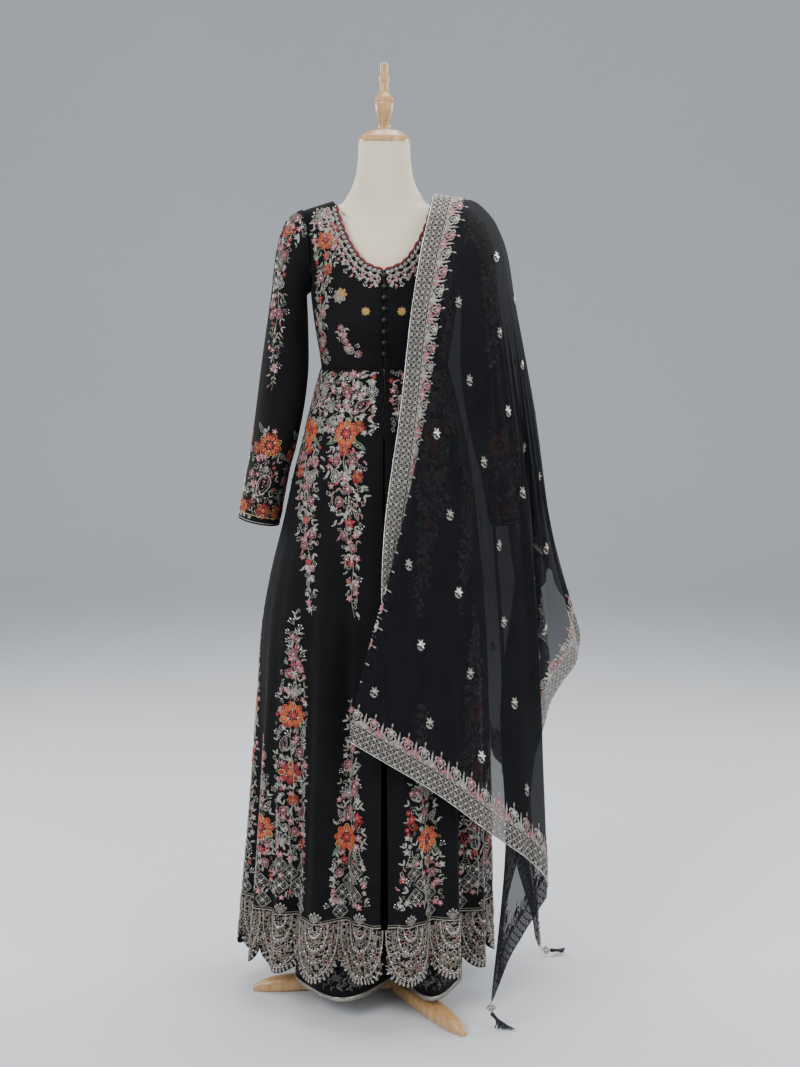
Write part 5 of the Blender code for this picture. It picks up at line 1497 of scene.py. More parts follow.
def make_stand():
    """The pole, its hub and the three low wooden legs."""
    pole = (Turn(POLE_RADIUS, HUB_TOP + 0.0004), Turn(POLE_RADIUS, FORM_RINGS[0].height - 0.0004))
    dress(turned("stand_pole", pole, 0.0, "pole", 32, 4), "pole_metal", "pole")
    hub = (
        Turn(HUB_RADIUS - 0.004, 0.006),
        Turn(HUB_RADIUS, 0.01),
        Turn(HUB_RADIUS, 0.028),
        Turn(HUB_RADIUS - 0.006, HUB_TOP),
    )
    dress(turned("stand_middle", hub, 0.0, "wood", 48, 12), "wood", "stand_hub")
    for number, degrees in enumerate(LEG_ANGLES, start=1):
        leg = closed_solid(f"stand_foot_{number}", stand_leg_surface(math.radians(degrees)), even(32),
                           even(30), "wood")
        dress(leg, "wood", f"stand_leg_{number}")


# The camera at the photograph's angle: its lens in millimetres, its place from the pole in metres, and
# how many degrees it looks down.
CAMERA_LENS = 67.39
CAMERA_ASIDE = 0.0287
CAMERA_AWAY = 2.8
CAMERA_HEIGHT = 1.3
CAMERA_DIP = 8.11


def make_studio():
    """The pale floor and wall, the soft lights, and the camera at the photograph's angle."""
    studio = bpy.context.scene.suit_studio
    reach, back, rise, bend = 12.0, 6.5, 8.0, 2.2
    turn = np.linspace(0, 0.5 * math.pi, 13)
    profile = [(-14.0, 0.0), (-3.0, 0.0), (back - bend - 0.4, 0.0)]
    profile += [(back - bend + bend * math.sin(a), bend - bend * math.cos(a)) for a in turn]
    profile += [(back, rise)]
    points = np.array([[side * reach, y, z] for y, z in profile for side in (-1, 1)])
    faces = np.array([[2 * i, 2 * i + 1, 2 * i + 3, 2 * i + 2] for i in range(len(profile) - 1)])
    sweep = mesh_object("studio_sweep", points, faces, "stage")
    sweep.data.shade_smooth()
    lamps = (
        ("key", (-2.2, -2.6, 2.9), (0.0, 0.0, 0.9), 2.2, studio.key),
        ("fill", (2.6, -2.2, 1.8), (0.0, 0.0, 0.8), 2.4, studio.fill),
        ("top", (0.2, 0.4, 3.4), (0.0, 0.0, 1.0), 2.0, studio.top),
        ("rim_left", (-2.4, 1.2, 1.8), (0.0, 0.0, 1.0), 1.4, studio.rim),
        ("rim_right", (2.4, 1.2, 1.8), (0.0, 0.0, 1.0), 1.4, studio.rim),
    )
    for name, place, aim, size, power in lamps:
        light = bpy.data.lights.new(name, "AREA")
        light.shape = "DISK"
        light.size = size
        light.energy = power
        lamp = bpy.data.objects.new(name, light)
        lamp.location = place
        lamp.rotation_euler = (Vector(aim) - Vector(place)).to_track_quat("-Z", "Y").to_euler()
        bpy.context.scene.collection.objects.link(lamp)
    world = bpy.data.worlds.new("studio_air")
    world.use_nodes = True
    world.node_tree.nodes["Background"].inputs["Color"].default_value = (0.9, 0.95, 1.0, 1)
    world.node_tree.nodes["Background"].inputs["Strength"].default_value = studio.air
    bpy.context.scene.world = world
    lens = bpy.data.cameras.new("camera")
    lens.sensor_fit = "HORIZONTAL"
    lens.sensor_width = 36.0
    lens.lens = CAMERA_LENS
    camera = bpy.data.objects.new("camera", lens)
    camera.location = (AXIS[0] + CAMERA_ASIDE, AXIS[1] - CAMERA_AWAY, CAMERA_HEIGHT)
    camera.rotation_euler = (math.radians(90 - CAMERA_DIP), 0, 0)
    bpy.context.scene.collection.objects.link(camera)
    bpy.context.scene.camera = camera


# The cloth of the suit.

def make_skirt():
    """The gown's skirt: eight gores, each with its own finer folds."""
    for number, name in enumerate(GORES):
        skin = gore_skin(number)
        panel(name.replace("gore", "skirt"), name, skin, even(96), even(36))


def make_bodice():
    """The bodice: two fronts, the back, and the scalloped edging of the neckline."""
    rows = np.append(even(44), 1.05)
    for side, word in SIDES:
        front = bodice_surface(side, -1, FRONT_NECKLINE)
        panel(f"front_{word}", f"bodice_front_{word}", front, even(40), rows,
              side < 0)
        edging = edging_surface(side)
        band = shell(f"edging_{word}", edging, even(140), even(3), "cord", TRIM_SKIN, side < 0)
        dress(band, "neck_edging", f"neck_edging_{word}")
        declare_panel(edging)
    left = bodice_surface(1, 1, BACK_NECKLINE)
    right = bodice_surface(-1, 1, BACK_NECKLINE)

    def back(u, v):
        half = np.abs(2 * u - 1)
        points = np.where((u < 0.5)[:, None], right(half, v), left(half, v))
        points[:, 0] = np.where(half < 1e-6, 0.0, points[:, 0])
        return points

    panel("back", "bodice_back", back, even(80), rows, True)


def make_sleeves():
    """The long sleeves, with soft creases at the elbow."""
    for side, word in SIDES:
        panel(f"arm_{word}", f"sleeve_{word}", sleeve_surface(side), even(52), even(76),
              side > 0)


def button_height(number):
    return NECK_DROP - 0.012 - number * (NECK_DROP - WAIST_SEAM - 0.02) / BUTTONS


def make_buttons():
    """The covered ball buttons, each with its loop of cord."""
    for number in range(BUTTONS):
        height = button_height(number)
        place = bodice_point(np.array(0.004), np.array(height), -1)
        middle = np.array([0.0, place[1] - BUTTON_RADIUS - SEAM_GAP - 0.5 * LAY_GAP, height])

        def ball(u, v, middle=middle):
            polar = math.pi * (0.02 + 0.96 * v)
            turn = 2 * math.pi * u
            radius = BUTTON_RADIUS * (1 + 0.03 * np.sin(9 * turn) * np.sin(polar))
            wide = radius * np.sin(polar)
            rise = -radius * np.cos(polar)
            return middle + np.stack([wide * np.cos(turn), wide * np.sin(turn), rise], axis=-1)

        made = closed_solid(f"ball_{number + 1}", ball, even(28), even(14), "cord")
        dress(made, "black_cloth", f"button_{number + 1}")


def make_palazzo():
    """The palazzo trousers and the silver braid round their hems."""
    sizes = bpy.context.scene.suit_sizes
    for leg in LEGS:
        for face, where in ((-1, "front"), (1, "back")):
            surface = palazzo_surface(leg, face)
            outward = (leg.centre > 0) == (face < 0)
            made = shell(f"leg_{where}_{leg.side}", surface, even(36), even(44), "georgette",
                         sizes.gown_cloth, outward)
            dress(made, "black_cloth", f"palazzo_{where}_{leg.side}")

            def braid(u, v, surface=surface, outward=outward):
                low = v * BRAID_HEIGHT / (LEG_HEIGHTS[1] - LEG_HEIGHTS[0]) / (len(LEG_HEIGHTS) - 1)
                near = np.clip(u, 0.002, 0.998)
                across = surface(near + 0.002, low) - surface(near - 0.002, low)
                along = surface(near, low + 0.002) - surface(near, low)
                normal = unit(np.cross(across, along) * (-1 if outward else 1))
                plaited = 0.0004 * np.abs(np.sin(140 * math.pi * u + 3 * math.pi * v))
                return surface(u, low) + normal * (LAY_GAP + TRIM_WALL + plaited)[:, None]

            band = shell(f"braid_{where}_{leg.side}", braid, even(220), even(3), "braid", TRIM_SKIN, outward)
            dress(band, "silver_braid", f"palazzo_braid_{where}_{leg.side}")
            declare_panel(surface)


def make_dupatta():
    """The sheer dupatta in one piece over the shoulder, with the fine folds that fan from it."""
    # Its columns are closer together where the cloth fans out round the shoulder.
    flat = even(36)
    turns = np.concatenate([flat[:-1], np.linspace(1, 3, 251), 3 + flat[1:]])

    def surface(turn, share):
        return dupatta_skin(turn, share * lane_reach(np.minimum(turn, 4 - turn)))

    made = shell("dupatta", surface, turns, even(104) ** 1.05, "sheer", sharp=180)
    dress(made, "black_sheer", "dupatta_field", "dupatta_neck_border", "dupatta_edge_border")


# Needlework on the cloth. Places are shares of the skirt and heights, or the other pieces' own u and v.

Row = namedtuple("Row", "u v half")


def wrapped(surface):
    """The same surface, going on round past its seam."""
    return lambda u, v: surface(u % 1.0, v)


def grow(work, ground, rows, pitch, motifs, seed, lean=55.0, jitter=0.28):
    """Fills a band along its rows of places and half widths (in millimetres) with motifs, which lean
    outwards from its middle. motifs holds pairs of a pattern and how often it comes."""
    random = np.random.default_rng(seed)
    rows = np.asarray(rows, float)
    share = np.linspace(0, 1, len(rows))
    fine = spline(np.linspace(0, 1, 60), share, rows)
    walk = np.linalg.norm(np.diff(ground.read(ground.points, fine[:, :2]), axis=0), axis=1)
    walk = np.concatenate([[0.0], np.cumsum(walk)]) * 1000
    patterns = [pattern for pattern, _ in motifs]
    odds = np.array([often for _, often in motifs], float)
    odds /= odds.sum()
    for number in range(max(int(walk[-1] / (0.87 * pitch)), 1)):
        at = (number + 0.5) * 0.87 * pitch
        u, v, half = (np.interp(at, walk, fine[:, k]) for k in range(3))
        back, ahead = ([np.interp(x, walk, fine[:, k]) for k in range(2)] for x in (at - 6, at + 6))
        weave = ground.weave(u, v)
        heading = unit(np.linalg.solve(weave, np.subtract(ahead, back)))
        side = np.array([heading[1], -heading[0]])
        across = max(int(round(2 * half / pitch)), 1)
        for k in range(across):
            aside = (k + 0.5 - 0.5 * across + 0.25 * (number % 2 * 2 - 1)) * pitch
            slip = random.uniform(-jitter, jitter, 2) * pitch
            move = (side * (aside + slip[0]) + heading * slip[1]) * 0.001
            place = np.array([u, v]) + weave @ move
            if work.is_taken(ground.read(ground.points, place)):
                continue
            turn = math.degrees(math.atan2(*heading)) + lean * aside / max(half, 1) + random.uniform(-28, 28)
            pattern = patterns[random.choice(len(patterns), p=odds)]
            work.sew(ground, pattern, place[0], place[1], turn, random.uniform(0.82, 1.12))


def stem(work, ground, rows, thread_name, width=1.4, wave=4.0, turns=3.0):
    """A stem that winds along a band."""
    rows = np.asarray(rows, float)
    fine = spline(np.linspace(0, 1, 60), np.linspace(0, 1, len(rows)), rows)
    swing = 0.001 * wave * np.sin(2 * math.pi * turns * np.linspace(0, 1, 60))
    places = [fine[i, :2] + ground.weave(*fine[i, :2]) @ np.array([swing[i], 0.0]) for i in range(60)]
    work.line(ground, places, width * np.linspace(1.0, 0.6, 60), thread_name)


@lru_cache(maxsize=None)
def scroll_motifs():
    """The small motifs of the silver scrollwork, and how often each comes."""
    return (
        (curl("silver", 10.0, 1.15, 1.5), 1.8),
        (curl("antique", 8.5, 1.2, 1.4), 1.4),
        (leaf_pair("silver", 11.5), 1.8),
        (leaf_pair("antique", 10.5), 1.0),
        (satin_leaf("silver", 12.5, 5.0), 1.6),
        (spray("silver", "bright", 12.0), 1.2),
        (bud("silver", 6.5), 1.5),
        (bud("pink", 7.0), 1.6),
        (satin_leaf("pink", 9.5, 4.2), 0.6),
        (bud("red", 5.4, "gold"), 0.5),
        (satin_leaf("green", 11.0, 4.4), 0.6),
    )


@lru_cache(maxsize=None)
def tip_motifs():
    """The lighter motifs at the ends of the vines."""
    return (
        (spray("silver", "bright", 11.0), 2.0),
        (leaf_pair("silver", 10.0), 2.0),
        (bud("pink", 6.0), 2.0),
        (curl("silver", 8.0, 1.15, 1.3), 1.0),
    )


# The larger motifs, named in the layouts by one letter: how each is made, and the room it takes, as how
# far its middle lies above its foot and how far it reaches from there, in millimetres.
Bloom = namedtuple("Bloom", "make middle reach")
BLOOMS = {
    "O": Bloom(lambda: rosette("orange", "red", "gold"), 0, 17),
    "R": Bloom(lambda: rosette("red", "orange", "gold", 8, 15.0), 0, 14),
    "P": Bloom(lambda: blossom("pink", "bright", 6, 9.5), 0, 7),
    "Q": Bloom(lambda: bud("red", 8.5, "gold"), 0, 6),
    "S": Bloom(lambda: blossom("silver", "bright", 7, 11.0), 0, 9),
    "L": Bloom(lambda: leaf("green", "silver", 22.0, 10.0), 12, 7),
    "A": Bloom(lambda: leaf("silver", "silver", 24.0, 11.0), 12, 7),
    "Y": Bloom(lambda: paisley("silver", "pink", 28.0), 13, 10),
    "Z": Bloom(lambda: paisley("red", "orange", 24.0), 11, 9),
    "F": Bloom(lambda: fan("silver", "silver", 27.0), 14, 12),
    "B": Bloom(lambda: bell("silver", 24.0), -13, 11),
    "D": Bloom(lambda: diamond(33.0), 0, 16),
    "T": Bloom(lambda: star("gold", "silver"), 0, 15),
    "G": Bloom(lambda: star("gold", "gold", "red", 9.0), 0, 9),
}


@lru_cache(maxsize=None)
def bloom(letter):
    return BLOOMS[letter].make()


Spot = namedtuple("Spot", "kind across up turn size", defaults=(0.0, 1.0))


def place_spots(work, ground, u, v, spots, mirror=False):
    """Sews larger motifs at places in millimetres from one at u and v, and keeps their room."""
    for spot in (Spot(*row) for row in spots):
        across = -spot.across if mirror else spot.across
        turn = -spot.turn if mirror else spot.turn
        here = np.array([u, v]) + ground.weave(u, v) @ (np.array([across, spot.up]) * 0.001)
        work.sew(ground, bloom(spot.kind), here[0], here[1], turn, spot.size, mirror)
        rise = 0.001 * BLOOMS[spot.kind].middle * spot.size
        middle = here + ground.weave(*here) @ turned_step(turn, rise)
        work.take(ground.read(ground.points, middle), 0.00105 * BLOOMS[spot.kind].reach * spot.size)


def place_along(work, ground, rows, start, spots, mirror=False):
    """Sews larger motifs along a band, at heights in millimetres above or below one on it."""
    rows = sorted(rows, key=lambda row: row.v)
    for spot in (Spot(*row) for row in spots):
        v = start + 0.001 * spot.up
        u = np.interp(v, [row.v for row in rows], [row.u for row in rows])
        place_spots(work, ground, u, v, (spot._replace(up=0),), mirror)


def skirt_cloth():
    return Ground(skirt_ground, (-0.02, 1.02), (GOWN_HEM, WAIST_SEAM), 1040, 180, 1)


# The larger flowers of a cascade from the waist band, and of a tall and a low vine that rise from the hem.
CASCADE = (
    ("O", 0, 0, 0, 1.4), ("R", 27, 14, 0, 0.8), ("R", -3, -29, 0, 0.8), ("L", 17, -12, 130),
    ("L", -17, -10, -125), ("L", -24, 12, -70, 0.9), ("P", -16, -50), ("P", 14, -48),
    ("S", -16, -78, 0, 1.15), ("R", 20, -74, 0, 0.85), ("P", 2, -98), ("L", 22, -92, 110, 0.8),
    ("P", -12, -122), ("A", 12, -134, 160, 0.9), ("Q", 2, -158, 0, 1.2), ("P", -9, -182, 0, 0.9),
    ("P", 6, -204, 0, 0.9), ("Q", 0, -232, 0, 0.9), ("A", 2, -262, 180, 0.7),
)
RISING = (
    ("D", -18, 6), ("D", 18, 6), ("D", 0, 30), ("D", -22, 46, 0, 0.9), ("B", 24, 62), ("Z", 18, 78, 20, 1.1),
    ("F", -16, 84, -10), ("P", 6, 110), ("A", -22, 118, -30), ("Y", 20, 136, 10), ("P", -14, 150),
    ("R", 4, 170, 0, 0.8), ("A", 22, 186, 25), ("R", -2, 222, 0, 1.45), ("L", -20, 204, -140),
    ("L", 18, 204, 140), ("Y", -14, 262, -10), ("P", 16, 262), ("A", 18, 288, 20), ("O", 0, 330, 0, 1.3),
    ("L", 16, 312, 150), ("A", -16, 310, -150), ("F", 2, 366, 0, 1.1), ("P", -8, 408), ("P", 8, 420),
    ("P", -2, 444), ("P", 2, 472, 0, 0.8),
)
LOW = (
    ("D", -17, 4), ("D", 17, 4), ("D", 0, 27), ("D", 19, 48, 0, 0.9), ("P", -24, 42), ("Q", -14, 66, 0, 1.1),
    ("B", 24, 92, 0, 1.1), ("O", -10, 108, 0, 1.4), ("L", -26, 92, -140), ("L", 10, 84, 140),
    ("Z", 14, 128, 30), ("Q", 22, 150, 0, 1.2), ("A", -18, 142, -30), ("P", -4, 160),
    ("F", -8, 186, -10, 0.9), ("P", 12, 198), ("A", 4, 226, 10), ("P", -8, 246), ("P", 4, 276, 0, 0.9),
)
# Where the vines rise: the share of the skirt at the hem, and how far each leans towards the front opening.
RISING_AT = ((0.853, -0.004), (0.147, 0.004), (0.385, 0.0), (0.615, 0.0), (0.268, 0.0), (0.732, 0.0))
LOW_AT = (0.95, 0.05, 0.203, 0.325, 0.44, 0.56, 0.675, 0.797)
# The cascades: their share at the waist, and how far they lean by their lower end.
CASCADES_AT = (
    (0.7956, 0.083), (0.9056, 0.048), (0.0944, -0.048), (0.2044, -0.083), (0.318, -0.03), (0.435, -0.01),
    (0.565, 0.01), (0.682, 0.03),
)
CASCADE_TOP = 1.098
VINE_FOOT = 0.232
# The bands that they fill: the part of the lean, the height, and the half width in millimetres.
CASCADE_BAND = ((0, CASCADE_TOP + 0.02, 34), (0.12, 1.06, 33), (0.35, 1.0, 27), (0.62, 0.92, 17),
                (0.84, 0.85, 11), (1, 0.77, 4))
RISING_BAND = ((0, VINE_FOOT, 42), (0, 0.32, 38), (0.5, 0.4, 34), (1, 0.5, 31), (1, 0.6, 25), (1, 0.68, 16),
               (1, 0.745, 6))


def leaning(band, share, lean):
    """The rows of a band that starts at a share of the skirt and leans from there."""
    return [Row(share + part * lean, height, half) for part, height, half in band]


def make_waist_work():
    """The dense band below the waist seam and the cascades that fall from it."""
    ground = skirt_cloth()
    work = Needlework("waist_needlework")
    ring = [Row(share, WAIST_SEAM - 0.061, 55) for share in np.linspace(0.012, 0.988, 9)]
    for number in range(26):
        share = 0.03 + 0.94 * number / 25
        kind = "YSFP"[number % 4]
        height = WAIST_SEAM - (0.04 if number % 2 else 0.075)
        place_spots(work, ground, share, height, ((kind, 0, 0, 25 * (-1) ** (number // 2), 1.05),))
    paths = []
    for number, (share, lean) in enumerate(CASCADES_AT):
        rows = leaning(CASCADE_BAND, share, lean)
        place_along(work, ground, rows, CASCADE_TOP, CASCADE, number % 2 == 0)
        paths.append(rows)
    for number, rows in enumerate(paths):
        grow(work, ground, rows, 9.2, scroll_motifs(), 20 + number, 50)
        stem(work, ground, rows, "silver", 1.4)
    grow(work, ground, ring, 9.2, scroll_motifs(), 11, 30)
    work.finish("silver_border")


def make_vine_work():
    """The tall and the low vines that rise from the hem band."""
    ground = skirt_cloth()
    work = Needlework("vine_needlework")
    for number, (share, lean) in enumerate(RISING_AT):
        rows = leaning(RISING_BAND, share, lean)
        place_along(work, ground, rows, VINE_FOOT + 0.02, RISING, number % 2 == 1)
        grow(work, ground, rows, 9.4, scroll_motifs(), 40 + number, 55)
        grow(work, ground, rows[-2:] + [Row(share + lean, 0.785, 3)], 9.5, tip_motifs(), 60 + number)
        stem(work, ground, rows, "silver", 1.5)
    for number, share in enumerate(LOW_AT):
        top = 0.62 if number < 2 else 0.52
        rows = [Row(share, VINE_FOOT, 46), Row(share, 0.3, 41), Row(share, 0.38, 33), Row(share, 0.46, 22),
                Row(share, 0.54 * top / 0.62, 12), Row(share, top, 4)]
        place_along(work, ground, rows, VINE_FOOT + 0.02, LOW, number % 2 == 1)
        grow(work, ground, rows, 9.4, scroll_motifs(), 80 + number, 55)
        stem(work, ground, rows, "silver", 1.4)
    work.finish("silver_border")


def make_hem_work():
    """The band along the scalloped hem: dense antique filling under arcs that hang in each lobe, petals
    along its edge, and diamonds over the notches."""
    ground = skirt_cloth()
    work = Needlework("hem_needlework")
    random = np.random.default_rng(7)
    girth = SKIRT_CLOTH[2]
    top = GOWN_HEM + 0.114
    filling = (trefoil("antique", 6.4), trefoil("antique", 7.2, 3, 52), curl("antique", 7.6, 1.0, 1.6),
               trefoil("silver", 6.0), trefoil("pink", 5.6))
    odds = (0.34, 0.22, 0.26, 0.13, 0.05)
    columns = int(girth / 0.0072)
    for j in range(columns):
        share = 0.003 + 0.994 * (j + 0.5) / columns
        low = float(hem_height(share)) + 0.008
        for k in range(int((top - low) / 0.0068)):
            height = low + (k + 0.25 + 0.5 * (j % 2)) * 0.0068
            u = share + random.uniform(-0.0012, 0.0012) / girth
            v = height + random.uniform(-0.0012, 0.0012)
            pattern = filling[random.choice(len(filling), p=odds)]
            work.sew(ground, pattern, u, v, random.uniform(0, 360), random.uniform(0.9, 1.15))
    petal = Pattern().petal("silver", 9.0, 5.2).bead("bright", 1.4, 0, 10.5)
    dot = Pattern().bead("bright", 1.7)
    half = 500 * girth / HEM_LOBES
    for lobe in range(HEM_LOBES):
        middle = (lobe + 0.5) / HEM_LOBES
        for ring in range(4):
            wide, deep = half - 3 - 11 * ring, 100 - 24 * ring
            turn = np.linspace(0.02, math.pi - 0.02, 30)
            over = middle + 0.001 * wide * np.cos(turn) / girth
            bow = np.stack([over, top - 0.001 * deep * np.sin(turn) ** 0.8], axis=1)
            low = hem_height(np.clip(bow[:, 0], 1e-4, 1 - 1e-4)) + 0.012 + 0.011 * ring
            bow[:, 1] = np.maximum(bow[:, 1], np.minimum(low, top))
            work.line(ground, bow, 2.2, "silver" if ring % 2 == 0 else "antique", 1.4)
            for u, v in bow[3:-3:2]:
                work.sew(ground, dot, u, v + 0.0035)
        for share in np.linspace(0.04, 0.96, 13):
            u = (lobe + share) / HEM_LOBES
            slope = (hem_height(u + 0.0008) - hem_height(u - 0.0008)) / (0.0016 * girth)
            lean = math.degrees(math.atan(np.clip(slope, -2.5, 2.5)))
            work.sew(ground, petal, u, float(hem_height(u)) + 0.001, -lean, 0.95)
        if lobe:
            work.sew(ground, bloom("D"), lobe / HEM_LOBES, top + 0.019, 0, 0.95)
        work.sew(ground, fan("silver", "antique", 20.0), middle, top + 0.004, 0, 1.0)
    shares = np.linspace(0.004, 0.996, 900)
    for rise, wide, thread_name in ((0.0, 2.0, "silver"), (0.0045, 1.4, "antique")):
        work.line(ground, np.stack([shares, np.full(900, top + rise)], axis=1), wide, thread_name)
    work.finish("silver_border")


def make_bodice_work():
    """The neckline's petals and piping, the vines down the princess seams, and the bodice's motifs."""
    work = Needlework("bodice_needlework")
    front = Ground(lambda x, z: bodice_point(x, z, -1), (-0.158, 0.158), (1.205, 1.504), 160, 150, 1)
    back = Ground(lambda x, z: bodice_point(-x, z, 1), (-0.158, 0.158), (1.205, 1.504), 160, 150, 1)
    scallop = Pattern().stroke([[-4.4, 0.4], [-2.4, 2.2], [0, 2.8], [2.4, 2.2], [4.4, 0.4]], 1.5, "red", 1.0)
    petal = Pattern().petal("silver", 6.4, 3.4).petal("silver", 4.6, 2.0, turn=70)
    petal.bead("bright", 0.9, 2.4, 5.0)
    for side in (-1, 1):
        edging = edging_surface(side)
        band = Ground(edging, (0, 1), (0, 1), 240, 8, side)
        for k in range(36):
            work.sew(band, scallop, (k + 0.5) / 36, 0.7, 0, 1.0)
            work.sew(band, petal, (k + 0.5) / 36, 0.08, 24 * (-1) ** k, 0.95)
        for inset, count, patterns in (
            (0.013, 34, (leaf_pair("silver", 8.5), bud("silver", 5.4), leaf_pair("silver", 8.5))),
            (0.022, 34, (bud("pink", 5.8), satin_leaf("silver", 10.0), leaf_pair("silver", 9.0))),
            (0.03, 17, (bud("silver", 5.0), satin_leaf("pink", 8.5), spray("silver", "bright", 9))),
        ):
            along = np.linspace(0.02, 0.98, count)
            x, z = bodice_top(along * NECK_SHARE, FRONT_NECKLINE)
            ahead_x, ahead_z = bodice_top(along * NECK_SHARE + 0.004, FRONT_NECKLINE)
            for k in range(count):
                way = math.atan2(ahead_z[k] - z[k], ahead_x[k] - x[k])
                out = np.array([math.sin(way), -math.cos(way)]) * inset
                turn = math.degrees(math.atan2(out[0], out[1]))
                work.sew(front, patterns[k % 3], side * (x[k] + out[0]), z[k] + out[1], side * turn, 0.95)
        vine = [Row(side * 0.098, 1.496, 27), Row(side * 0.104, 1.455, 27), Row(side * 0.106, 1.4, 20),
                Row(side * 0.112, 1.34, 16), Row(side * 0.114, 1.28, 16), Row(side * 0.108, 1.222, 20)]
        place_along(work, front, vine, 1.442, (
            ("O", 0, 0, 0, 0.95), ("R", 20, 22, 0, 0.7), ("F", -14, 40, -20, 0.9), ("Z", 22, -10, 30, 0.9),
            ("L", -14, -16, -140, 0.8), ("Q", 2, -28), ("R", 8, -52, 0, 0.7), ("P", -8, -66),
            ("A", 8, -84, 20, 0.8), ("Q", -4, -104), ("P", 6, -128), ("S", -2, -152, 0, 0.8),
            ("P", 4, -178), ("Q", -6, -196)), side > 0)
        grow(work, front, vine, 8.8, scroll_motifs(), 100 + side, 50)
        stem(work, front, vine, "silver")
        place_spots(work, front, side * 0.078, 1.343, (("T", 0, 0, 0, 1.05),))
        place_spots(work, front, side * 0.032, 1.315, (("G", 0, 0, 0, 1.05),))
        sprig = [Row(side * 0.074, 1.292, 7), Row(side * 0.072, 1.265, 8), Row(side * 0.05, 1.243, 6)]
        grow(work, front, sprig, 8.5, tip_motifs(), 110 + side)
        place_spots(work, front, side * 0.07, 1.262, (
            ("P", 0, 2, 0, 0.8), ("P", -7, 26, 0, 0.7), ("S", 10, -14, 0, 0.9), ("P", 28, -18, 0, 0.8),
        ), side > 0)
        for turned_side in (-1, 1):
            spine = [Row(turned_side * 0.092, 1.476, 15), Row(turned_side * 0.098, 1.42, 16),
                     Row(turned_side * 0.092, 1.34, 14), Row(turned_side * 0.096, 1.27, 14),
                     Row(turned_side * 0.094, 1.222, 15)]
            if side > 0:
                grow(work, back, spine, 9.5, scroll_motifs(), 120 + turned_side, 50)
                place_spots(work, back, turned_side * 0.098, 1.43, (("O", 0, 0), ("P", 0, -40),
                                                                     ("Q", 0, -80), ("P", 0, -120)))
    hang = [Row(x, 1.448 - 0.01 * math.cos(x / 0.03), 5) for x in np.linspace(-0.066, 0.066, 9)]
    grow(work, back, hang, 9.0, scroll_motifs(), 130, 40)
    for x in (-0.045, 0.045):
        place_spots(work, back, x, 1.36, (("T", 0, 0), ("G", 0, -52), ("P", 0, -100)))
    for number in range(BUTTONS):
        height = button_height(number)
        work.sew(front, Pattern().loop("black", 9.0, 4.5, thick=1.3, sides=10), -0.001, height, 90)
    work.finish("silver_border")


# The flowers round a cuff: how far along the sleeve each group lies, and its motifs.
CUFF_GROUPS = (
    (0.755, (("O", -4, 0, 0, 1.25), ("R", 22, 10, 0, 0.8), ("L", 14, -20, 140), ("L", -24, 12, -60),
             ("F", -6, 40, 0, 0.8))),
    (0.87, (("Y", -8, -16, 0, 1.5), ("L", 24, 6, 30), ("P", 22, -12))),
    (0.955, (("R", -14, 0), ("Z", 14, -14, 20, 1.1), ("O", 28, 0, 0, 0.7))),
)


def make_sleeve_work():
    """The vine down the outside of each sleeve and the flowers round its cuff."""
    work = Needlework("sleeve_needlework")
    for side in (-1, 1):
        surface = sleeve_surface(side)
        ground = Ground(wrapped(surface), (-0.3, 1.3), (0.0, 1.0), 200, 160, side)
        vine = [Row(0.11, 0.02, 28), Row(0.125, 0.09, 27), Row(0.135, 0.18, 20), Row(0.15, 0.3, 19),
                Row(0.165, 0.42, 14), Row(0.18, 0.52, 10), Row(0.185, 0.6, 4)]
        place_spots(work, ground, 0.12, 0.08, (("R", 0, 12, 0, 0.9), ("P", 10, -22), ("A", -12, -20, 200)),
                    side > 0)
        place_spots(work, ground, 0.15, 0.34, (("P", -10, 26), ("P", 10, 28), ("P", 14, 8), ("S", -6, -30),
                                                ("F", 0, -66, 180, 0.8), ("P", -8, -96), ("P", 8, -100)),
                    side > 0)
        grow(work, ground, vine, 9.2, scroll_motifs(), 140 + side, 55)
        stem(work, ground, vine, "silver")
        for number in range(4):
            u = 0.225 + number / 4
            u -= 1.0 if u > 1 else 0.0
            cuff = [Row(u, 0.985, 31), Row(u, 0.9, 30), Row(u, 0.82, 27), Row(u, 0.76, 24), Row(u, 0.7, 9)]
            for height, spots in CUFF_GROUPS:
                place_spots(work, ground, u, height, spots, side > 0)
            grow(work, ground, cuff, 9.2, scroll_motifs(), 150 + 10 * number + side, 45)
        for v, thread_name in ((0.994, "silver"), (0.975, "gold")):
            u = np.linspace(0, 1, 160)
            work.line(ground, np.stack([u, np.full(160, v)], axis=1), 1.8, thread_name)
    work.finish("silver_border")


def make_palazzo_work():
    """The leafy band above the palazzo's braid, in silver thread darkened as painted shade, and a few small
    flowers.
    """
    work = Needlework("palazzo_needlework")
    # The leaves and curls are sewn in the darker silver thread, which is painted shade.
    leaves = ((leaf_pair("dusk", 12.0), 3.0), (curl("dusk", 9.0, 1.15, 1.4), 2.0),
              (trefoil("dusk", 8.0), 1.5))
    for leg in LEGS:
        for face in (-1, 1):
            surface = palazzo_surface(leg, face)
            outward = 1 if (leg.centre > 0) == (face < 0) else -1
            ground = Ground(surface, (0, 1), (0, 0.143), 160, 30, -outward)
            rows = [Row(u, 0.031, 14) for u in np.linspace(0.02, 0.98, 7)]
            grow(work, ground, rows, 9.5, leaves, 170 + face, 40)
            for u in (0.28, 0.72):
                work.sew(ground, bud("red", 7.0, "gold"), u, 0.036)
    work.finish("silver_border")


@lru_cache(maxsize=None)
def lattice_cell(wide=11.0):
    """One cell of the silver lattice: a quatrefoil in a square of crossed lines."""
    made = Pattern()
    half = 0.5 * wide
    for turn in (45, 135, 225, 315):
        made.petal("silver", half * 1.15, half * 0.55, turn=turn, rise=0.8)
    made.stroke([[-half, -half], [-half, half]], 0.9, "silver", 0.7)
    made.stroke([[-half, -half], [half, -half]], 0.9, "silver", 0.7)
    made.bead("bright", 1.0)
    return made


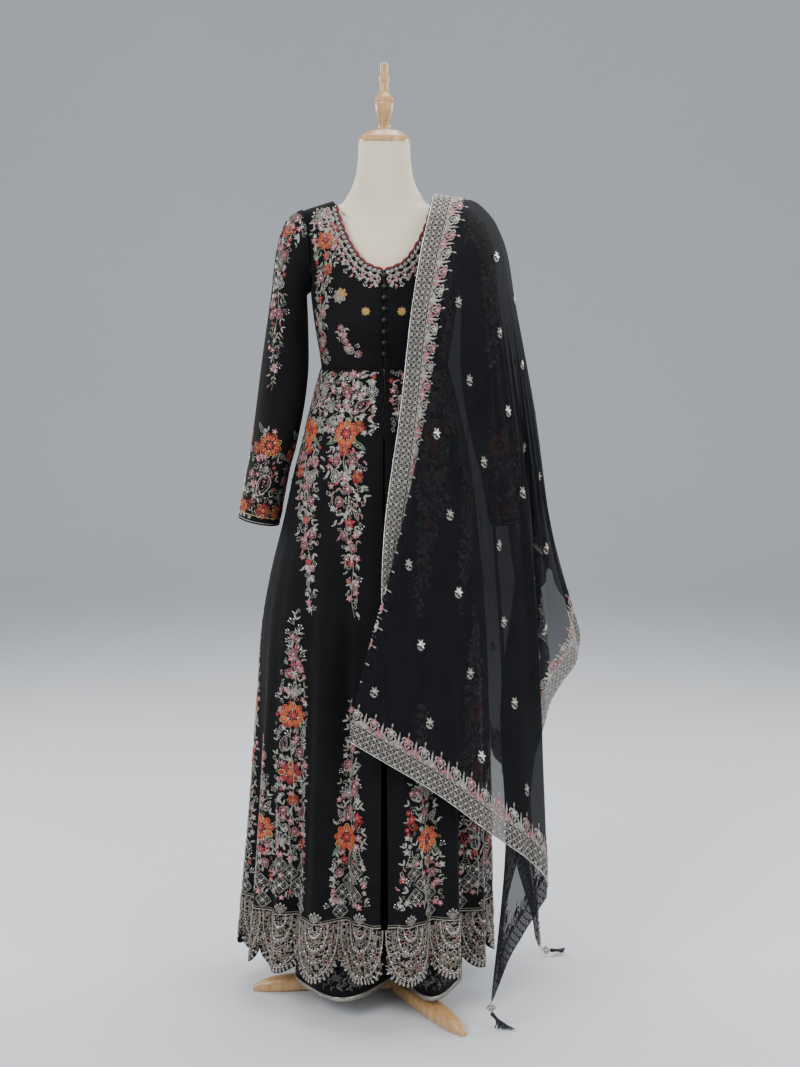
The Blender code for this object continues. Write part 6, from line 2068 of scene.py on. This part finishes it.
@lru_cache(maxsize=None)
def border_flower(petal):
    """A flower of the border with its leaves, which stands on the lattice's edge line."""
    made = Pattern()
    made.stroke([[0, 0], [0, 9]], 1.5, "silver")
    made.join(blossom(petal, "bright", 6, 8.5, False), 0, 20)
    for side in (-1, 1):
        made.petal(petal, 15, 4.8, side * 1.5, 1, side * 52)
        made.petal("silver", 12, 3.6, side * 1.5, 6, side * 24)
        made.petal("silver", 9, 3.2, side * 2, 0, side * 80)
    made.petal("silver", 8, 3.4, 0, 29, 0)
    return made


@lru_cache(maxsize=None)
def border_leaves(thread_name="silver"):
    """The spiky leaves between the border's flowers."""
    made = Pattern()
    for turn, long in ((-58, 14), (-28, 22), (0, 29), (28, 22), (58, 14)):
        made.petal(thread_name if turn else "silver", long, 4.6, turn=turn)
    made.bead("bright", 1.6, 0, 2)
    for side in (-1, 1):
        made.bead("bright", 1.4, side * 7, 19)
        made.petal("silver", 8, 3, side * 6, 20, side * 50)
    return made


def dupatta_flat(x, y):
    """The dupatta by its flat cloth: x metres from the neck side, and y from the shoulder line, more
    than 0 towards the front end."""
    out = np.maximum(x - ON_SHOULDER, 0)
    away = np.abs(y)
    lane = np.where(out <= 0, x / ON_SHOULDER, 1 + np.arctan2(out, away) / (0.5 * math.pi))
    reach = np.where(out <= 0, away, np.hypot(out, away))
    return dupatta_skin(np.where(y > 0, lane, 4 - lane), reach)


class FlatGround(Ground):
    """Cloth whose u and v are metres of its flat width and length."""

    def weave(self, u, v):
        return np.array([[-1.0, 0.0], [0.0, 1.0]])


def evened(surface, columns):
    """The same surface with its points spread evenly along each row of the cloth."""

    def spread(u, v):
        grid = surface(u, v).reshape(columns + 1, -1, 3)
        steps = np.linalg.norm(np.diff(grid, axis=0), axis=-1)
        walk = np.concatenate([0 * steps[:1], np.cumsum(steps, axis=0)])
        for j in range(grid.shape[1]):
            places = np.linspace(0, walk[-1, j], columns + 1)
            grid[:, j] = np.stack([np.interp(places, walk[:, j], grid[:, j, k]) for k in range(3)], axis=1)
        return grid.reshape(-1, 3)

    return spread


@lru_cache(maxsize=None)
def dupatta_cloth():
    """The dupatta for its needlework."""
    columns = 400
    return FlatGround(evened(dupatta_flat, columns), (0.0, DUPATTA_WIDTH), (-DUPATTA_HALF, DUPATTA_HALF),
                      columns, 700, -1)


# The border's runs over the flat cloth: where each starts, which way it goes, which way is inwards, how
# far its motifs turn, and its length.
Run = namedtuple("Run", "x y along inward turn length")
RUNS = (
    Run(0.0, -DUPATTA_HALF, (0, 1), (1, 0), -90, 2 * DUPATTA_HALF),
    Run(0.04, DUPATTA_HALF, (1, 0), (0, -1), 180, DUPATTA_WIDTH - 0.08),
    Run(DUPATTA_WIDTH, DUPATTA_HALF, (0, -1), (-1, 0), 90, 2 * DUPATTA_HALF),
    Run(DUPATTA_WIDTH - 0.04, -DUPATTA_HALF, (-1, 0), (0, 1), 0, DUPATTA_WIDTH - 0.08),
)


# The border's spacing, and its lines: how far each is set in, its width in millimetres and its thread.
LATTICE_PITCH = 0.011
FLOWER_PITCH = 0.017
BORDER_LINES = ((0.0012, 1.5, "bright"), (0.0355, 1.4, "silver"), (0.0385, 0.9, "silver"))


def make_borders():
    """The lattice, lines and flowers round the dupatta's four edges."""
    work = Needlework("border_needlework")
    ground = dupatta_cloth()
    for run in RUNS:
        start, along, inward = (np.array(part, float) for part in ((run.x, run.y), run.along, run.inward))

        def spot(walked, inset):
            return start + along * walked + inward * inset

        cells = int(run.length / LATTICE_PITCH)
        for k in range(cells):
            for row in range(3):
                place = spot((k + 0.5) * run.length / cells, 0.007 + row * LATTICE_PITCH)
                work.sew(ground, lattice_cell(), *place, run.turn)
        walk = np.linspace(0, run.length, int(run.length / 0.006))
        for inset, wide, thread_name in BORDER_LINES:
            work.line(ground, [spot(at, inset) for at in walk], wide, thread_name, 0.7)
        count = int(run.length / FLOWER_PITCH)
        for k in range(count):
            place = spot((k + 0.5) * run.length / count, 0.037)
            thread_name = "pink" if k % 4 < 2 else "silver"
            pattern = border_leaves(thread_name) if k % 2 else border_flower(thread_name)
            work.sew(ground, pattern, *place, run.turn, 0.98)
    work.finish("silver_border")


@lru_cache(maxsize=None)
def buti(petal="silver"):
    """One of the dupatta's scattered sprigs: a flower on a short stem with two leaves."""
    made = Pattern()
    for turn in range(-116, 117, 58):
        made.petal(petal, 9.0, 3.8, 0, 1, turn)
    made.stroke([[0, 0], [-0.6, -6], [0.4, -10]], 1.5, "silver")
    for side in (-1, 1):
        made.petal("silver", 7.5, 3.4, 0, -9, side * 62)
    made.bead("bright", 2.2, 0, 1, 1.8)
    return made


def make_butis():
    """The sprigs scattered in rows over the dupatta's field."""
    work = Needlework("buti_needlework")
    ground = dupatta_cloth()
    random = np.random.default_rng(9)
    for row in range(17):
        y = -0.945 + 0.118 * row
        for k in range(6):
            x = 0.1 + 0.118 * k + (0.059 if row % 2 else 0.0)
            if x < DUPATTA_WIDTH - 0.075:
                turn = (180 if y > 0 else 0) + random.uniform(-14, 14)
                work.sew(ground, buti("silver" if (row + k) % 3 else "bright"), x, y, turn, 1.05)
    work.finish("silver_border")


def tube(paths, radius, sides, closed=False):
    """Points and faces of round cords along paths, each an array of points."""
    points, faces, total = [], [], 0
    for path in paths:
        count = len(path)
        along = course(path, closed)
        first = unit(np.cross(along, [0.31, 0.87, 0.38]))
        second = np.cross(along, first)
        turn = 2 * math.pi * np.arange(sides) / sides
        cosine, sine = np.cos(turn)[:, None], np.sin(turn)[:, None]
        ring = path[:, None] + radius * (cosine * first[:, None] + sine * second[:, None])
        points.append(ring.reshape(-1, 3))
        for i in range(count if closed else count - 1):
            here, ahead = total + i * sides, total + (i + 1) % count * sides
            for k in range(sides):
                beside = (k + 1) % sides
                faces.append([here + k, here + beside, ahead + beside, ahead + k])
        total += count * sides
    return np.concatenate(points), np.array(faces)


def make_ornament(name, node, place, tilt):
    """A square wire ornament hung by its corner, with a smaller square inside it."""
    cosine, sine = math.cos(math.radians(tilt)), math.sin(math.radians(tilt))
    rings = []
    for half, turned_by in ((0.5 * ORNAMENT_SIDE - 0.0012, 45), (0.5 * ORNAMENT_SIDE - 0.0042, 0)):
        angle = np.radians(turned_by + 45 + 90 * np.arange(4))
        corners = half * math.sqrt(2) * np.stack([np.cos(angle), 0 * angle, np.sin(angle)], axis=1)
        path = [corners[k] + (corners[(k + 1) % 4] - corners[k]) * share for k in range(4)
                for share in (0.04, 0.2, 0.5, 0.8, 0.96)]
        rings.append(np.array(path))
    points, faces = tube(rings, 0.0012, 8, True)
    points = np.stack([points[:, 0], points[:, 1] * cosine - points[:, 2] * sine,
                       points[:, 1] * sine + points[:, 2] * cosine], axis=1)
    made = mesh_object(name, points + np.array(place) + AXIS, faces, "braid")
    made.data.shade_smooth()
    dress(made, "silver_braid", node)


def make_tassel(name, node, top, middle, spread):
    """A tassel: a bound head and the fine threads that fan out of it onto the floor."""
    random = np.random.default_rng(5)
    top, middle, spread = (np.array(part) for part in (top, middle, spread))
    toward = unit(middle - top)
    side = unit(np.cross(toward, [0.0, 0.0, 1.0]))
    deep = np.cross(toward, side)
    paths = []
    for number in range(70):
        angle, share = random.uniform(0, 2 * math.pi), math.sqrt(random.uniform(0, 1))
        root = top + (side * math.cos(angle) + deep * math.sin(angle)) * 0.003 * share
        neck = root + toward * TASSEL_HEAD
        end = middle + spread * random.uniform(-0.5, 0.5) + toward * random.uniform(-0.004, 0.002)
        steps = np.linspace(0, 1, 8)[:, None]
        bent = neck * (1 - steps) ** 2 + 2 * steps * (1 - steps) * (neck + toward * 0.012) + end * steps ** 2
        path = np.concatenate([root[None], bent])
        path[:, 2] = np.maximum(path[:, 2], 0.0034 + 0.0006 * share)
        paths.append(path)
    binding = []
    turn = np.linspace(0, 2 * math.pi * 7, 90)
    for angle, share in zip(turn, np.linspace(0, 1, 90)):
        binding.append(top + toward * TASSEL_HEAD * share
                       + (side * math.cos(angle) + deep * math.sin(angle)) * (TASSEL_RADIUS - 0.0007))
    points, faces = tube(paths, 0.00045, 4)
    more, wound = tube([np.array(binding)], 0.0006, 6)
    faces = np.concatenate([faces, wound + len(points)])
    made = mesh_object(name, np.concatenate([points, more]) + AXIS, faces, "cord")
    made.data.shade_smooth()
    dress(made, "tassel_thread", node)


def make_tassels():
    """The square ornaments and the black tassels of two corners of the dupatta."""
    make_ornament("square_front", "ornament_front", (0.197, -0.184, 0.042), 0)
    make_ornament("square_back", "ornament_back", (0.33, 0.139, 0.0125), -30)
    make_tassel("threads_front", "tassel_front", (0.1975, -0.1848, 0.032), (0.224, -0.196, 0.005),
                (0.04, -0.005, 0.0))
    make_tassel("threads_back", "tassel_back", (0.3402, 0.139, 0.0124), (0.368, 0.15, 0.007),
                (0.008, 0.03, 0.0))


# The add-on.

def length(name, description, default, low=0.0, high=0.05):
    return FloatProperty(name=name, description=description, default=default, min=low, max=high,
                         subtype="DISTANCE", unit="LENGTH", precision=5)


def power(name, description, default):
    return FloatProperty(name=name, description=description, default=default, min=0, unit="POWER")


def shade(name, description, default):
    return FloatVectorProperty(name=name, description=description, default=default, size=3, min=0.0, max=1.0,
                               subtype="COLOR")


class SuitSizes(bpy.types.PropertyGroup):
    """Sizes of the cloth's finer form."""

    gown_cloth: length("Gown cloth", "Thickness of the gown's georgette", 0.0009, 0.0002, 0.0014)
    skirt_ripple: length("Skirt ripple", "Depth of the skirt's finer folds at the hem", 0.0022, 0.0, 0.004)
    front_ripple: length("Dupatta ripple in front", "Depth of its finer folds in front", 0.003, 0.0, 0.005)
    back_ripple: length("Dupatta ripple behind", "Depth of its finer folds behind", 0.0048, 0.0, 0.006)
    stitch_lift: length("Stitch lift", "How far needlework lies above the cloth", 0.0006, 0.0003, 0.002)


class SuitColours(bpy.types.PropertyGroup):
    """Colours of the cloth, threads, form and stand."""

    georgette: shade("Georgette", "The gown and the palazzo", (0.003, 0.003, 0.0036))
    sheer: shade("Sheer cloth", "The dupatta", (0.003, 0.0034, 0.005))
    sheer_cover: FloatProperty(name="Sheer cover", description="How much the sheer cloth hides",
                               default=0.82, min=0.1, max=1.0, subtype="FACTOR")
    silver: shade("Silver", "Silver thread", (0.29, 0.272, 0.245))
    bright: shade("Bright silver", "Sequins and beads", (0.76, 0.74, 0.7))
    antique: shade("Antique silver", "The hem's dull gold and silver thread", (0.185, 0.155, 0.125))
    gold: shade("Gold", "Gold thread", (0.42, 0.26, 0.09))
    orange: shade("Orange", "Orange thread", (0.43, 0.072, 0.024))
    red: shade("Red", "Red thread", (0.27, 0.01, 0.018))
    pink: shade("Pink", "Pink thread", (0.31, 0.12, 0.132))
    green: shade("Green", "Green thread", (0.13, 0.22, 0.13))
    # Painted shade: a darker copy of the silver thread, for the band above the palazzo's braid.
    dusk: shade("Dusk", "Grey thread seen through the sheer cloth", (0.075, 0.07, 0.066))
    black: shade("Black cord", "Buttons, loops and tassels", (0.008, 0.008, 0.01))
    cover_seam: shade("Cover seam", "The seam of the form's cover", (0.42, 0.35, 0.24))
    form_cover: shade("Form cover", "The form's knit cover", (0.72, 0.63, 0.47))
    wood: shade("Wood", "The finial, the cap and the legs", (0.5, 0.29, 0.12))
    pole: shade("Pole", "The metal pole", (0.55, 0.55, 0.56))
    stage: shade("Stage", "The studio's floor and wall", (0.66, 0.68, 0.71))


class StudioSettings(bpy.types.PropertyGroup):
    """Strength of the studio's lights."""

    key: power("Key", "Light from the front left", 120.0)
    fill: power("Fill", "Light from the front right", 70.0)
    top: power("Top", "Light from above", 70.0)
    rim: power("Rim", "Light from each side behind", 45.0)
    air: FloatProperty(name="Air", description="Strength of the light all round", default=0.45, min=0)


class SUIT_OT_form(bpy.types.Operator):
    """The dress form's torso, neck cap and finial."""

    bl_idname = "suit.form"
    bl_label = "Form"

    def execute(self, context):
        make_form()
        return {"FINISHED"}


class SUIT_OT_stand(bpy.types.Operator):
    """The pole, its hub and the three wooden legs."""

    bl_idname = "suit.stand"
    bl_label = "Stand"

    def execute(self, context):
        make_stand()
        return {"FINISHED"}


class SUIT_OT_skirt(bpy.types.Operator):
    """The eight gores of the gown's skirt."""

    bl_idname = "suit.skirt"
    bl_label = "Skirt"

    def execute(self, context):
        make_skirt()
        return {"FINISHED"}


class SUIT_OT_bodice(bpy.types.Operator):
    """The bodice's fronts and back, and the neckline's edging."""

    bl_idname = "suit.bodice"
    bl_label = "Bodice"

    def execute(self, context):
        make_bodice()
        return {"FINISHED"}


class SUIT_OT_sleeves(bpy.types.Operator):
    """The two long sleeves."""

    bl_idname = "suit.sleeves"
    bl_label = "Sleeves"

    def execute(self, context):
        make_sleeves()
        return {"FINISHED"}


class SUIT_OT_buttons(bpy.types.Operator):
    """The ball buttons of the centre front."""

    bl_idname = "suit.buttons"
    bl_label = "Buttons"

    def execute(self, context):
        make_buttons()
        return {"FINISHED"}


class SUIT_OT_palazzo(bpy.types.Operator):
    """The trouser panels and the braid of their hems."""

    bl_idname = "suit.palazzo"
    bl_label = "Palazzo"

    def execute(self, context):
        make_palazzo()
        return {"FINISHED"}


class SUIT_OT_dupatta(bpy.types.Operator):
    """The sheer dupatta over the left shoulder."""

    bl_idname = "suit.dupatta"
    bl_label = "Dupatta"

    def execute(self, context):
        make_dupatta()
        return {"FINISHED"}


class SUIT_OT_tassels(bpy.types.Operator):
    """The square ornaments and tassels of the dupatta's corners."""

    bl_idname = "suit.tassels"
    bl_label = "Tassels"

    def execute(self, context):
        make_tassels()
        return {"FINISHED"}


class SUIT_OT_bodice_work(bpy.types.Operator):
    """The embroidery of the bodice and its neckline."""

    bl_idname = "suit.bodice_work"
    bl_label = "Bodice needlework"

    def execute(self, context):
        make_bodice_work()
        return {"FINISHED"}


class SUIT_OT_sleeve_work(bpy.types.Operator):
    """The embroidery of the sleeves."""

    bl_idname = "suit.sleeve_work"
    bl_label = "Sleeve needlework"

    def execute(self, context):
        make_sleeve_work()
        return {"FINISHED"}


class SUIT_OT_waist_work(bpy.types.Operator):
    """The waist band and its cascades."""

    bl_idname = "suit.waist_work"
    bl_label = "Waist needlework"

    def execute(self, context):
        make_waist_work()
        return {"FINISHED"}


class SUIT_OT_vine_work(bpy.types.Operator):
    """The vines that rise from the hem."""

    bl_idname = "suit.vine_work"
    bl_label = "Vine needlework"

    def execute(self, context):
        make_vine_work()
        return {"FINISHED"}


class SUIT_OT_hem_work(bpy.types.Operator):
    """The scalloped band of the gown's hem."""

    bl_idname = "suit.hem_work"
    bl_label = "Hem needlework"

    def execute(self, context):
        make_hem_work()
        return {"FINISHED"}


class SUIT_OT_palazzo_work(bpy.types.Operator):
    """The leafy band above the palazzo's braid."""

    bl_idname = "suit.palazzo_work"
    bl_label = "Palazzo needlework"

    def execute(self, context):
        make_palazzo_work()
        return {"FINISHED"}


class SUIT_OT_borders(bpy.types.Operator):
    """The lattice and flowers round the dupatta's edges."""

    bl_idname = "suit.borders"
    bl_label = "Dupatta borders"

    def execute(self, context):
        make_borders()
        return {"FINISHED"}


class SUIT_OT_butis(bpy.types.Operator):
    """The small motifs scattered over the dupatta."""

    bl_idname = "suit.butis"
    bl_label = "Dupatta motifs"

    def execute(self, context):
        make_butis()
        return {"FINISHED"}


class SUIT_OT_studio(bpy.types.Operator):
    """The floor, the wall, the lights and the camera."""

    bl_idname = "suit.studio"
    bl_label = "Studio"

    def execute(self, context):
        make_studio()
        return {"FINISHED"}


class SUIT_PT_panel(bpy.types.Panel):
    """Lists the suit's sizes, colours and pieces."""

    bl_idname = "SUIT_PT_panel"
    bl_label = "Palazzo Suit"
    bl_space_type = "VIEW_3D"
    bl_region_type = "UI"
    bl_category = "Palazzo Suit"

    def draw(self, context):
        for group in (context.scene.suit_sizes, context.scene.suit_colours, context.scene.suit_studio):
            box = self.layout.box()
            for name in type(group).__annotations__:
                box.prop(group, name)
        for piece in PIECES:
            self.layout.operator(piece.bl_idname)


PIECES = (
    SUIT_OT_form,
    SUIT_OT_stand,
    SUIT_OT_skirt,
    SUIT_OT_bodice,
    SUIT_OT_sleeves,
    SUIT_OT_buttons,
    SUIT_OT_palazzo,
    SUIT_OT_dupatta,
    SUIT_OT_tassels,
    SUIT_OT_bodice_work,
    SUIT_OT_sleeve_work,
    SUIT_OT_waist_work,
    SUIT_OT_vine_work,
    SUIT_OT_hem_work,
    SUIT_OT_palazzo_work,
    SUIT_OT_borders,
    SUIT_OT_butis,
    SUIT_OT_studio,
)
CLASSES = (SuitSizes, SuitColours, StudioSettings) + PIECES + (SUIT_PT_panel,)


def register():
    for each in CLASSES:
        bpy.utils.register_class(each)
    bpy.types.Scene.suit_sizes = PointerProperty(type=SuitSizes)
    bpy.types.Scene.suit_colours = PointerProperty(type=SuitColours)
    bpy.types.Scene.suit_studio = PointerProperty(type=StudioSettings)


def unregister():
    del bpy.types.Scene.suit_sizes, bpy.types.Scene.suit_colours, bpy.types.Scene.suit_studio
    for each in reversed(CLASSES):
        bpy.utils.unregister_class(each)


def main():
    """Builds every piece in order."""
    register()
    bpy.ops.suit.form()
    bpy.ops.suit.stand()
    bpy.ops.suit.skirt()
    bpy.ops.suit.bodice()
    bpy.ops.suit.sleeves()
    bpy.ops.suit.buttons()
    bpy.ops.suit.palazzo()
    bpy.ops.suit.dupatta()
    bpy.ops.suit.tassels()
    bpy.ops.suit.bodice_work()
    bpy.ops.suit.sleeve_work()
    bpy.ops.suit.waist_work()
    bpy.ops.suit.vine_work()
    bpy.ops.suit.hem_work()
    bpy.ops.suit.palazzo_work()
    bpy.ops.suit.borders()
    bpy.ops.suit.butis()
    bpy.ops.suit.studio()
    bpy.context.view_layer.update()


if __name__ == "__main__":
    main()
